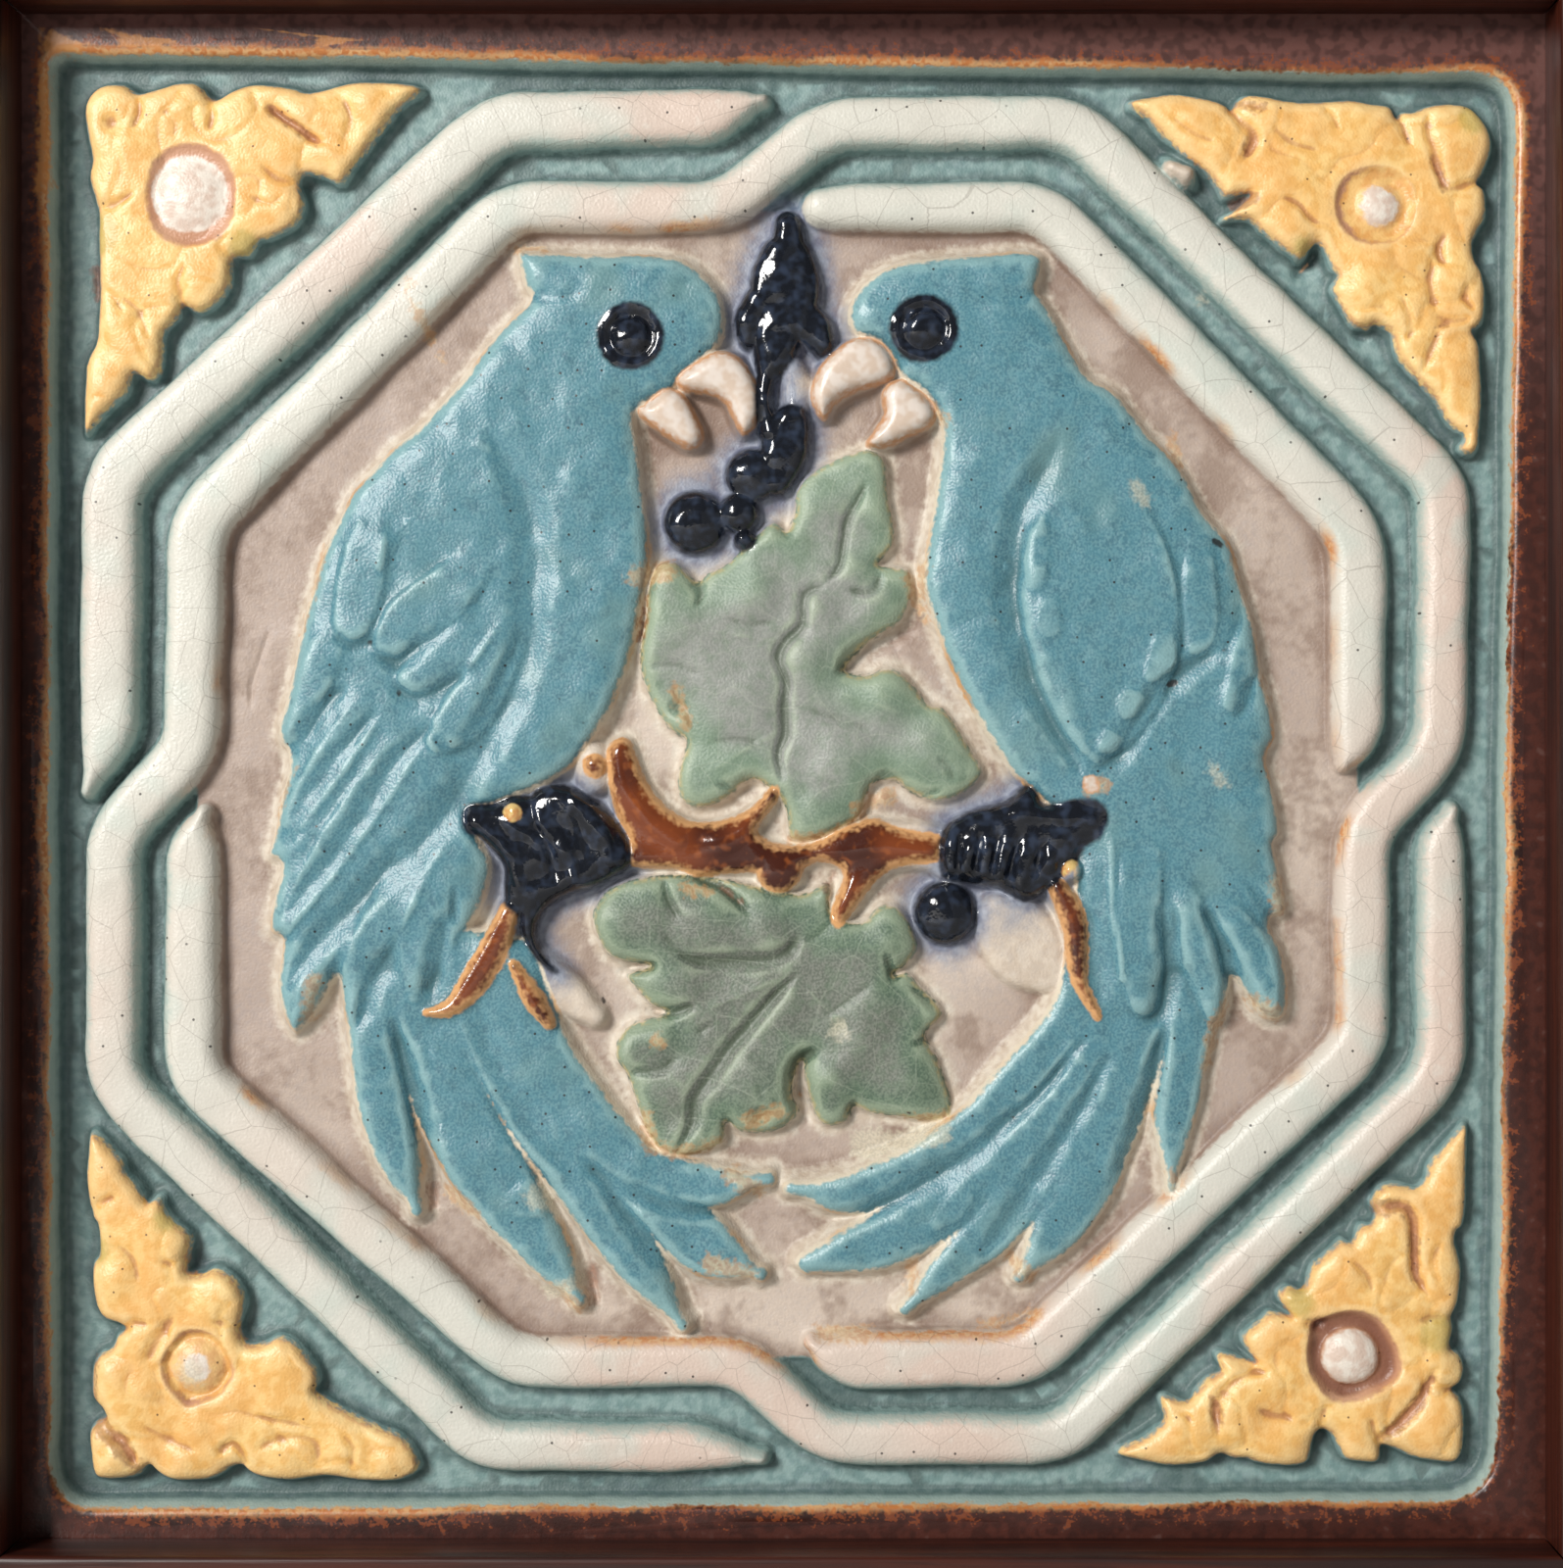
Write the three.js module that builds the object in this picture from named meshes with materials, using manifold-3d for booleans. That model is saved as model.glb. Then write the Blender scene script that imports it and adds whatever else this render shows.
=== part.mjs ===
// A square relief tile with two parrots among vine leaves, framed by interlaced octagonal straps,
// and held in the grooves of four mitred wooden members.
// Millimetres, +Z up. The tile faces -Y and the wall is the plane Y = 0.
// The origin is the middle of the top rail's back, where the work hangs.

import * as THREE from 'three';
import { mergeVertices } from 'three/addons/utils/BufferGeometryUtils.js';
import Module from 'manifold-3d';

const wasm = await Module();
wasm.setup();

// Tile
const tileSide = 304.8;
const tileThickness = 19;
const recessDepth = 5.8;
const fieldRise = 0.8;
const rimEdgeRadius = 1.6;
const rimDraft = 0.8;

// Frame
const memberWidth = 38;
const lipOverlap = 3.4;
const lipThickness = 12.9;
const backLipThickness = 6;
const arris = 1.2;
const fitGap = 0.3;

// Heights of the relief above the tile's back
const strapLevel = 19;
const bodyLevel = 19.2;
const beakLevel = 19.9;
const wingLevel = 20;
const featherLevel = 20.2;
const underFeatherLevel = 19.1;
const tailLevel = 18.3;
const eyeLevel = 20.5;
const footLevel = 20.4;
const clawLevel = 20;
const leafLevel = 18.2;
const branchLevel = 18;
const grapeLevel = 18.6;
const foliageLevel = 18.3;
const bossLevel = 18.4;

// Steps between neighbouring forms of the relief
const jawDrop = 0.4;
const eyeRingDrop = 0.5;
const featherStep = 0.25;
const underFeatherStep = 0.4;
const tailStep = 0.5;
const lobeStep = 0.3;
const leafStep = 0.2;
const levelsInTurn = 3;
const stemDrop = 0.4;
const knotRise = 0.6;

// How far the domed forms fall to their edges
const eyeRingDome = 0.9;
const pupilDome = 1;
const knotDome = 1.5;
const grapeDome = 3;

// Rounding of the relief's shoulders
const strapRounding = 3.6;
const bodyRounding = 3.2;
const featherRounding = 2;
const leafRounding = 2.2;
const smallRounding = 1.5;
const foliageRounding = 1.8;

// How closely the curves are followed
const curveStep = 11;
const foliageStep = 16;
const pointedTip = 1.4;
const buttonSides = 10;
const knotSides = 8;
const pitSides = 12;

// Shares: a band's half width kept at its top, a side that an eased corner may take,
// a button's flat crown and a pit's floor
const keptHalf = 0.3;
const easedShare = 0.4;
const crownShare = 0.3;
const pitFloorShare = 0.92;

// Two sides meeting closer to a straight line than this need no easing
const straightTurn = -0.97;

// The relief is drawn on a grid with x to the right and y down, this many units to a tile's side
const drawingUnits = 1590;
const drawingCentre = [799.5, 792];

// The recess inside the rim: corner x, y and rounding
const recessCorners = [
  [49, 54, 20],
  [1547, 76, 42],
  [1527, 1531, 60],
  [51, 1540, 48],
];

// The straps' centre lines, each point with half the strap's width
const strapCourses = [
  [
    [776, 1491, 3], [745, 1487, 15], [705, 1481, 24], [490, 1480, 25], [111, 1107, 28],
    [111, 848, 28], [193, 764, 29], [196, 531, 30], [517, 208, 27], [737, 208, 25],
    [846, 121, 27], [1098, 121, 27], [1476, 492, 27], [1475, 762, 26], [1394, 846, 28],
    [1393, 1066, 28], [1046, 1391, 29], [872, 1391, 29], [848, 1386, 20], [828, 1373, 5],
  ],
  [
    [206, 829, 3], [199, 847, 16], [193, 872, 28], [192, 1098, 29], [522, 1393, 26],
    [757, 1393, 26], [842, 1472, 26], [1086, 1472, 25], [1473, 1096, 26], [1474, 870, 24],
    [1478, 846, 17], [1485, 825, 3],
  ],
  [
    [777, 100, 4], [757, 105, 16], [722, 116, 28], [503, 119, 30], [109, 487, 31],
    [108, 742, 31], [99, 773, 19], [86, 806, 3],
  ],
  [
    [819, 212, 4], [838, 212, 15], [872, 208, 24], [1067, 208, 26], [1389, 541, 29],
    [1389, 733, 28], [1383, 758, 22], [1373, 780, 9],
  ],
];
const strapBend = 34;

// The field inside the straps
const fieldCorners = [
  [517, 208], [1067, 208], [1391, 541], [1393, 1066], [1046, 1391], [522, 1393], [193, 1098], [195, 531],
];

// Each bird's body, wing, feathers, beak and eye, as centre lines with half widths
const leftBird = {
  body: [
    [582, 370, 79], [555, 440, 108], [526, 512, 144], [495, 590, 165], [465, 683, 165],
    [432, 755, 140], [405, 840, 88], [393, 930, 66],
  ],
  head: [[535, 279, 20], [590, 296, 38], [640, 322, 66], [668, 326, 70]],
  wing: [
    [500, 415, 30], [467, 480, 74], [446, 560, 103], [424, 648, 114], [397, 733, 104],
    [363, 812, 82], [333, 885, 58], [314, 950, 36],
  ],
  feathers: [
    [[360, 640, 30], [318, 700, 26], [284, 752, 6]],
    [[400, 690, 34], [330, 790, 28], [279, 866, 5]],
    [[430, 740, 34], [345, 860, 30], [276, 948, 5]],
    [[455, 770, 34], [370, 900, 34], [312, 990, 24], [296, 1052, 6]],
  ],
  underFeathers: [
    [[440, 860, 32], [390, 960, 30], [358, 1052, 6]],
    [[455, 880, 28], [428, 960, 28], [428, 1028, 8]],
  ],
  tail: [
    [[385, 960, 32], [384, 1050, 30], [392, 1130, 29], [408, 1190, 21], [425, 1236, 4]],
    [[430, 960, 40], [440, 1050, 42], [466, 1140, 42], [514, 1218, 38], [562, 1288, 22], [590, 1329, 4]],
    [[470, 980, 36], [505, 1060, 36], [550, 1140, 36], [604, 1218, 34], [655, 1295, 26], [697, 1354, 4]],
    [[500, 980, 34], [545, 1070, 34], [600, 1150, 34], [664, 1218, 34], [722, 1275, 30], [776, 1302, 5]],
    [[520, 985, 30], [560, 1075, 24], [600, 1140, 24], [650, 1190, 26], [712, 1212, 26], [783, 1204, 4]],
  ],
  beak: [[700, 388, 9], [728, 380, 19], [752, 392, 20], [762, 418, 13], [758, 441, 3]],
  jaw: [[655, 418, 9], [680, 420, 20], [700, 440, 15], [709, 456, 5]],
  eye: [644, 343],
};

const rightBird = {
  body: [
    [1018, 368, 74], [1046, 432, 92], [1074, 507, 131], [1100, 590, 158], [1124, 670, 160],
    [1160, 745, 138], [1195, 825, 112], [1215, 900, 92], [1220, 975, 70],
  ],
  head: [[1055, 280, 20], [1005, 296, 38], [955, 322, 62], [932, 325, 64]],
  wing: [[1132, 500, 30], [1135, 560, 90], [1140, 630, 104], [1136, 700, 76], [1120, 786, 5]],
  feathers: [
    [[1215, 690, 40], [1275, 810, 30], [1308, 925, 6]],
    [[1185, 740, 38], [1250, 880, 34], [1295, 975, 24], [1308, 1038, 8]],
    [[1160, 770, 34], [1205, 900, 34], [1240, 990, 26], [1246, 1040, 8]],
  ],
  underFeathers: [
    [[1150, 800, 28], [1158, 920, 28], [1170, 1000, 24], [1172, 1038, 10]],
  ],
  tail: [
    [[1130, 960, 36], [1095, 1040, 26], [1050, 1095, 26], [1000, 1150, 27], [940, 1192, 26], [870, 1220, 24],
      [806, 1214, 5]],
    [[1150, 980, 36], [1105, 1080, 32], [1050, 1155, 34], [980, 1220, 34], [900, 1268, 30], [824, 1292, 12]],
    [[1170, 980, 36], [1125, 1100, 34], [1072, 1185, 34], [1014, 1255, 28], [958, 1305, 18], [924, 1337, 4]],
    [[1190, 980, 36], [1160, 1080, 30], [1122, 1180, 32], [1080, 1255, 27], [1042, 1305, 5]],
    [[1222, 960, 34], [1216, 1020, 30], [1208, 1085, 26], [1199, 1145, 22], [1197, 1212, 4]],
  ],
  beak: [[912, 364, 9], [885, 367, 21], [855, 380, 20], [838, 402, 13], [839, 425, 3]],
  jaw: [[945, 422, 13], [925, 420, 20], [905, 440, 14], [887, 453, 5]],
  eye: [943, 335],
};
const eyeRadius = 33;
const pupilRadius = 18;

// Lobes of the two leaves, from the leaf's heart to each tip
const upperLeaf = [
  [[790, 610, 70], [785, 690, 92], [812, 765, 56]],
  [[820, 640, 60], [850, 560, 60], [860, 505, 48], [880, 467, 22]],
  [[810, 650, 50], [775, 578, 38], [786, 545, 17]],
  [[800, 660, 50], [730, 622, 44], [680, 592, 18]],
  [[800, 680, 50], [715, 685, 46], [668, 672, 22]],
  [[800, 710, 50], [745, 768, 46], [710, 808, 16]],
  [[815, 720, 50], [838, 790, 44], [832, 838, 22]],
  [[850, 700, 56], [925, 757, 50], [985, 795, 18]],
  [[840, 640, 56], [885, 610, 40], [920, 588, 9]],
];
const lowerLeaf = [
  [[690, 965, 46], [765, 1010, 70], [870, 1035, 56]],
  [[735, 1030, 56], [700, 1105, 56]],
  [[800, 985, 50], [705, 945, 48], [632, 928, 27]],
  [[790, 1010, 50], [700, 1062, 46], [650, 1072, 20]],
  [[790, 1020, 50], [725, 1105, 56], [690, 1152, 30]],
  [[800, 1040, 40], [788, 1110, 34], [776, 1142, 16]],
  [[820, 1040, 40], [838, 1105, 34], [842, 1136, 13]],
  [[830, 1010, 56], [890, 1080, 56], [950, 1124, 20]],
  [[840, 1000, 46], [915, 1032, 30], [956, 1036, 9]],
  [[820, 980, 50], [885, 960, 34], [922, 955, 20]],
  [[800, 980, 50], [770, 930, 32], [835, 922, 18]],
];

// The branch between the birds, its twigs and buds
const branches = [
  [[632, 762, 9], [646, 802, 13], [676, 842, 18], [722, 864, 21], [775, 876, 22], [815, 884, 18]],
  [[700, 852, 16], [745, 838, 13], [781, 812, 6]],
  [[800, 885, 20], [850, 874, 16], [905, 872, 19], [965, 868, 16]],
  [[872, 888, 13], [861, 920, 9], [857, 945, 4]],
  [[610, 800, 8], [603, 785, 20], [618, 762, 8]],
];
const branchKnots = [
  [795, 890, 22],
  [903, 818, 13],
];

// The birds' feet and claws
const feet = [
  [[478, 834, 10], [520, 852, 30], [572, 858, 52], [625, 872, 26]],
  [[530, 890, 26], [545, 930, 18], [566, 986, 4]],
  [[966, 870, 20], [1005, 860, 36], [1058, 858, 38], [1122, 832, 9]],
  [[1040, 880, 26], [1052, 912, 8]],
];
const claws = [
  [[517, 922, 12], [508, 960, 17], [482, 1004, 17], [436, 1034, 7]],
  [[520, 985, 6], [545, 1022, 12], [560, 1047, 6]],
  [[540, 968, 7], [575, 1014, 15], [612, 1040, 7]],
  [[1080, 905, 8], [1096, 945, 13], [1102, 990, 10], [1120, 1036, 4]],
  [[1030, 945, 20], [1045, 972, 38], [1065, 995, 20]],
];

// The grapes hanging between the heads, and one under the right foot
const grapeStem = [
  [[803, 224, 10], [801, 258, 22], [800, 292, 35], [800, 318, 30]],
  [[762, 344, 16], [800, 342, 26], [842, 342, 14]],
  [[800, 356, 16], [806, 400, 20], [798, 440, 22]],
];
const grapes = [
  [806, 450, 26],
  [768, 490, 31],
  [705, 530, 31],
  [748, 532, 26],
  [972, 930, 36],
];

// Corner leaves: two arms that run along the rim to the straps, and the lobes between them
const cornerLeaves = [
  [
    [[140, 150, 50], [230, 138, 52], [310, 128, 42], [372, 112, 27], [427, 93, 3]],
    [[140, 150, 50], [140, 240, 50], [128, 310, 38], [110, 370, 27], [87, 437, 3]],
    [[116, 124, 30], [150, 150, 40]],
    [[235, 172, 56], [274, 202, 36]],
    [[180, 230, 52], [205, 282, 38]],
    [[310, 130, 34], [336, 160, 22]],
    [[130, 310, 32], [150, 352, 22]],
  ],
  [
    [[1455, 155, 50], [1350, 150, 50], [1255, 140, 34], [1163, 102, 3]],
    [[1460, 160, 50], [1462, 270, 48], [1474, 350, 34], [1490, 410, 20], [1508, 462, 3]],
    [[1450, 170, 40], [1480, 146, 34]],
    [[1350, 180, 54], [1305, 208, 36]],
    [[1420, 240, 50], [1396, 290, 38]],
    [[1270, 140, 30], [1240, 168, 22]],
    [[1460, 320, 34], [1438, 352, 22]],
  ],
  [
    [[150, 1440, 50], [140, 1350, 46], [128, 1270, 36], [92, 1163, 3]],
    [[150, 1440, 50], [250, 1455, 50], [345, 1472, 34], [438, 1503, 3]],
    [[140, 1450, 40], [122, 1476, 32]],
    [[180, 1370, 50], [210, 1332, 35]],
    [[240, 1420, 46], [288, 1402, 36]],
    [[140, 1290, 34], [162, 1262, 22]],
    [[330, 1465, 26], [372, 1458, 18]],
  ],
  [
    [[1440, 1440, 50], [1452, 1330, 40], [1470, 1240, 27], [1495, 1157, 3]],
    [[1440, 1440, 50], [1330, 1448, 44], [1240, 1464, 28], [1150, 1487, 3]],
    [[1430, 1430, 40], [1462, 1462, 32]],
    [[1420, 1350, 50], [1370, 1310, 36]],
    [[1360, 1420, 50], [1310, 1372, 36]],
    [[1450, 1290, 32], [1424, 1244, 20]],
    [[1300, 1440, 30], [1245, 1412, 20]],
  ],
];

// The boss in each corner: x, y, radius of its pit and radius of the boss itself
const bosses = [
  [193, 200, 46, 40],
  [1406, 207, 42, 28],
  [203, 1396, 40, 32],
  [1378, 1387, 46, 30],
];
const pitDepth = 2.4;

// Colours
const glaze = new THREE.Color(0.36, 0.55, 0.58);
const wood = new THREE.Color(0.34, 0.13, 0.08);

// Worked out from the sizes above
const unit = tileSide / drawingUnits;
const channelLevel = tileThickness - recessDepth;
const fieldLevel = channelLevel + fieldRise;
const grooveDepth = lipOverlap + fitGap;
const grooveWidth = tileThickness + 2 * fitGap;
const frameDepth = backLipThickness + grooveWidth + lipThickness;
const frameSide = tileSide - 2 * lipOverlap + 2 * memberWidth;
const embed = 1;

// A point of the drawing, in millimetres from the tile's centre, with y up
function place([x, y]) {
  return new THREE.Vector2((x - drawingCentre[0]) * unit, (drawingCentre[1] - y) * unit);
}

// A station of a band: its place, and half its width as the third coordinate
function station([x, y, halfWidth]) {
  const at = place([x, y]);
  return new THREE.Vector3(at.x, at.y, halfWidth * unit);
}

function toManifold(geometry) {
  const bare = geometry.clone();
  bare.deleteAttribute('normal');
  bare.deleteAttribute('uv');
  const merged = mergeVertices(bare, 1e-4);
  return new wasm.Manifold(new wasm.Mesh({
    numProp: 3,
    vertProperties: new Float32Array(merged.attributes.position.array),
    triVerts: new Uint32Array(merged.index.array),
  }));
}

function toGeometry(solid) {
  const mesh = solid.getMesh();
  const geometry = new THREE.BufferGeometry();
  geometry.setAttribute('position', new THREE.BufferAttribute(mesh.vertProperties, 3));
  geometry.setIndex(new THREE.BufferAttribute(mesh.triVerts, 1));
  geometry.computeVertexNormals();
  return geometry;
}

// A closed solid through outlines that share one point count, one above the other
function stack(outlines, heights) {
  const count = outlines[0].length;
  const turned = THREE.ShapeUtils.area(outlines[0]) < 0;
  const layers = outlines.map((outline) => (turned ? [...outline].reverse() : outline));
  const positions = [];
  layers.forEach((layer, level) => {
    layer.forEach((point) => positions.push(point.x, point.y, heights[level]));
  });
  const faces = [];
  const cap = THREE.ShapeUtils.triangulateShape(layers[0], []);
  const lastRow = (layers.length - 1) * count;
  cap.forEach(([a, b, c]) => {
    faces.push(a, c, b);
    faces.push(lastRow + a, lastRow + b, lastRow + c);
  });
  for (let level = 0; level < layers.length - 1; level += 1) {
    for (let i = 0; i < count; i += 1) {
      const low = level * count + i;
      const lowNext = level * count + (i + 1) % count;
      faces.push(low, lowNext, low + count);
      faces.push(lowNext, lowNext + count, low + count);
    }
  }
  const geometry = new THREE.BufferGeometry();
  geometry.setAttribute('position', new THREE.Float32BufferAttribute(positions, 3));
  geometry.setIndex(faces);
  return toManifold(geometry);
}

// The edge of a band whose shoulders are drawn in by an inset. Where the band is too narrow
// to give the whole inset, its tip draws back by the rest.
function bandOutline(points, inset, capSteps) {
  const last = points.length - 1;
  const left = [];
  const right = [];
  const caps = [[], []];
  points.forEach((point, i) => {
    const before = points[Math.max(i - 1, 0)];
    const after = points[Math.min(i + 1, last)];
    const along = new THREE.Vector2(after.x - before.x, after.y - before.y).normalize();
    const across = new THREE.Vector2(-along.y, along.x);
    const half = Math.max(point.z - inset, point.z * keptHalf);
    const centre = new THREE.Vector2(point.x, point.y);
    const shortfall = inset - (point.z - half);
    if (i === 0) {
      centre.addScaledVector(along, shortfall);
    }
    if (i === last) {
      centre.addScaledVector(along, -shortfall);
    }
    left.push(centre.clone().addScaledVector(across, half));
    right.push(centre.clone().addScaledVector(across, -half));
    if ((i === 0 || i === last) && point.z > pointedTip) {
      const outward = i === 0 ? -1 : 1;
      for (let step = 1; step < capSteps; step += 1) {
        const turn = (Math.PI * step) / capSteps;
        const rim = centre.clone().addScaledVector(across, half * Math.cos(turn) * outward);
        rim.addScaledVector(along, half * Math.sin(turn) * outward);
        caps[i === 0 ? 0 : 1].push(rim);
      }
    }
  });
  return [...left, ...caps[1], ...right.reverse(), ...caps[0]];
}

// A raised band with quarter-round shoulders
function raise(points, level, rounding, capSteps = 2, shoulderSteps = 1) {
  const outlines = [bandOutline(points, 0, capSteps)];
  const heights = [channelLevel - embed];
  for (let step = 0; step <= shoulderSteps; step += 1) {
    const turn = (0.5 * Math.PI * step) / shoulderSteps;
    outlines.push(bandOutline(points, rounding * (1 - Math.cos(turn)), capSteps));
    heights.push(level - rounding * (1 - Math.sin(turn)));
  }
  return stack(outlines, heights);
}

// Points of a smooth band through its stations
function flowing(stations, stepLength = curveStep) {
  const curve = new THREE.CatmullRomCurve3(stations.map(station), false, 'centripetal');
  const steps = Math.max(2, Math.ceil(curve.getLength() / stepLength));
  return curve.getSpacedPoints(steps);
}

// Points of a straight-sided course whose corners are eased
function coursed(stations, bend) {
  const points = stations.map(station);
  const eased = [points[0]];
  for (let i = 1; i < points.length - 1; i += 1) {
    const back = points[i - 1].clone().sub(points[i]);
    const ahead = points[i + 1].clone().sub(points[i]);
    const reach = Math.min(bend * unit, easedShare * back.length(), easedShare * ahead.length());
    const entry = points[i].clone().addScaledVector(back.normalize(), reach);
    const exit = points[i].clone().addScaledVector(ahead.normalize(), reach);
    const straight = back.dot(ahead) < straightTurn;
    eased.push(...(straight ? [points[i]] : [entry, exit]));
  }
  eased.push(points[points.length - 1]);
  return eased;
}

// Points of a round of the drawing
function round([x, y], radius, sides) {
  const centre = place([x, y]);
  return Array.from({ length: sides }, (_, i) => {
    const turn = (2 * Math.PI * i) / sides;
    const spoke = new THREE.Vector2(Math.cos(turn), Math.sin(turn));
    return centre.clone().add(spoke.multiplyScalar(radius * unit));
  });
}

// A domed button standing on the relief
function button([x, y], radius, level, drop, sides = buttonSides) {
  const steps = 2;
  const outlines = [round([x, y], radius, sides)];
  const heights = [channelLevel - embed];
  for (let step = 0; step < steps; step += 1) {
    const turn = (0.5 * Math.PI * step) / steps;
    outlines.push(round([x, y], radius * Math.cos(turn), sides));
    heights.push(level - drop * (1 - Math.sin(turn)));
  }
  outlines.push(round([x, y], radius * crownShare, sides));
  heights.push(level);
  return stack(outlines, heights);
}

function joined(solids) {
  return solids.reduce((whole, solid) => whole.add(solid));
}

// The recess, a rounded square with a draft to its wall and an eased upper edge
function recessOutline(grow) {
  const path = [];
  recessCorners.forEach((corner, i) => {
    const next = recessCorners[(i + 1) % recessCorners.length];
    const previous = recessCorners[(i + recessCorners.length - 1) % recessCorners.length];
    const at = place(corner);
    const inward = at.clone().multiplyScalar(-1).normalize();
    at.addScaledVector(inward, -grow * Math.SQRT2);
    const radius = corner[2] * unit;
    const entry = at.clone().addScaledVector(place(previous).sub(place(corner)).normalize(), radius);
    const exit = at.clone().addScaledVector(place(next).sub(place(corner)).normalize(), radius);
    const bendCurve = new THREE.QuadraticBezierCurve(entry, at, exit);
    path.push(...bendCurve.getPoints(4));
  });
  return path;
}

function tileBlank() {
  const half = tileSide / 2;
  const square = new THREE.Shape();
  square.moveTo(-half, -half);
  square.lineTo(half, -half);
  square.lineTo(half, half);
  square.lineTo(-half, half);
  const slab = toManifold(new THREE.ExtrudeGeometry(square, { depth: tileThickness, bevelEnabled: false }));
  const easing = rimEdgeRadius * (1 - Math.SQRT1_2);
  const recess = stack(
    [-rimDraft, 0, easing, rimEdgeRadius, rimEdgeRadius].map(recessOutline),
    [
      channelLevel,
      tileThickness - rimEdgeRadius,
      tileThickness - easing,
      tileThickness,
      tileThickness + embed,
    ],
  );
  return slab.subtract(recess);
}

function field() {
  const outline = fieldCorners.map(place);
  return stack([outline, outline], [channelLevel - embed, fieldLevel]);
}

function bird(shape) {
  const parts = [
    raise(flowing(shape.body), bodyLevel, bodyRounding, 3, 2),
    raise(flowing(shape.head), bodyLevel, bodyRounding, 6, 2),
    raise(flowing(shape.wing), wingLevel, featherRounding),
    raise(flowing(shape.beak), beakLevel, smallRounding),
    raise(flowing(shape.jaw), beakLevel - jawDrop, smallRounding),
    button(shape.eye, eyeRadius, eyeLevel - eyeRingDrop, eyeRingDome),
    button(shape.eye, pupilRadius, eyeLevel, pupilDome),
  ];
  shape.feathers.forEach((feather, i) => {
    parts.push(raise(flowing(feather), featherLevel + featherStep * i, featherRounding));
  });
  shape.underFeathers.forEach((feather, i) => {
    parts.push(raise(flowing(feather), underFeatherLevel + underFeatherStep * i, featherRounding));
  });
  shape.tail.forEach((feather, i) => {
    const step = i % 2 === 0 ? 0 : tailStep;
    parts.push(raise(flowing(feather), tailLevel + step, featherRounding));
  });
  return parts;
}

function foliage() {
  const parts = [];
  cornerLeaves.forEach((lobes, corner) => {
    const leaves = joined(lobes.map((lobe, i) => {
      const level = foliageLevel + lobeStep * (i % levelsInTurn);
      return raise(flowing(lobe, foliageStep), level, foliageRounding);
    }));
    const [x, y, pitRadius, bossRadius] = bosses[corner];
    const pit = stack(
      [round([x, y], pitRadius * pitFloorShare, pitSides), round([x, y], pitRadius, pitSides)],
      [bossLevel - pitDepth, bossLevel + 2 * embed],
    );
    parts.push(leaves.subtract(pit));
    parts.push(button([x, y], bossRadius, bossLevel, pitDepth));
  });
  return parts;
}

function tile() {
  const leaves = [...upperLeaf, ...lowerLeaf].map((lobe, i) => (
    raise(flowing(lobe), leafLevel + leafStep * (i % levelsInTurn), leafRounding)
  ));
  const vine = [
    ...branches.map((branch) => raise(flowing(branch), branchLevel, smallRounding)),
    ...branchKnots.map(([x, y, radius]) => (
      button([x, y], radius, branchLevel + knotRise, knotDome, knotSides)
    )),
    ...grapeStem.map((stem) => raise(flowing(stem), grapeLevel - stemDrop, smallRounding)),
    ...grapes.map(([x, y, radius]) => button([x, y], radius, grapeLevel, grapeDome)),
    ...feet.map((foot) => raise(flowing(foot), footLevel, featherRounding)),
    ...claws.map((claw) => raise(flowing(claw), clawLevel, smallRounding)),
  ];
  const straps = strapCourses.map((course) => (
    raise(coursed(course, strapBend), strapLevel, strapRounding, 2, 2)
  ));
  return joined([
    tileBlank(),
    field(),
    ...straps,
    ...foliage(),
    ...leaves,
    ...bird(leftBird),
    ...bird(rightBird),
    ...vine,
  ]);
}

// A frame member: its section runs from the outer edge inwards and from the wall outwards.
// Both ends are cut at 45 degrees by drawing each point back by its distance from the edge.
function frameMember() {
  const section = new THREE.Shape();
  section.moveTo(0, 0);
  section.lineTo(memberWidth, 0);
  section.lineTo(memberWidth, backLipThickness);
  section.lineTo(memberWidth - grooveDepth, backLipThickness);
  section.lineTo(memberWidth - grooveDepth, backLipThickness + grooveWidth);
  section.lineTo(memberWidth, backLipThickness + grooveWidth);
  section.lineTo(memberWidth, frameDepth - arris);
  section.lineTo(memberWidth - arris, frameDepth);
  section.lineTo(arris, frameDepth);
  section.lineTo(0, frameDepth - arris);
  const geometry = new THREE.ExtrudeGeometry(section, { depth: frameSide, bevelEnabled: false });
  const position = geometry.attributes.position;
  const mitreGap = fitGap * Math.SQRT1_2;
  for (let i = 0; i < position.count; i += 1) {
    const fromEdge = position.getX(i);
    const drawnBack = fromEdge + mitreGap;
    const along = position.getZ(i) > frameSide / 2 ? frameSide - drawnBack : drawnBack;
    position.setXYZ(i, frameSide / 2 - along, frameSide / 2 - fromEdge, position.getY(i));
  }
  geometry.computeVertexNormals();
  return geometry;
}

const facing = new THREE.Group();
facing.rotation.x = Math.PI / 2;
facing.position.z = memberWidth / 2 - frameSide / 2;

const tileMesh = new THREE.Mesh(
  toGeometry(tile()),
  new THREE.MeshStandardMaterial({ color: glaze, roughness: 0.4, metalness: 0 }),
);
tileMesh.name = 'tile';
tileMesh.position.z = backLipThickness + fitGap;
facing.add(tileMesh);

['frame_top_rail', 'frame_left_stile', 'frame_bottom_rail', 'frame_right_stile'].forEach((name, quarter) => {
  const member = new THREE.Mesh(
    frameMember(),
    new THREE.MeshStandardMaterial({ color: wood, roughness: 0.45, metalness: 0 }),
  );
  member.name = name;
  member.rotation.z = (quarter * Math.PI) / 2;
  facing.add(member);
});

const framedTile = new THREE.Group();
framedTile.add(facing);

export default framedTile;
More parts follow.
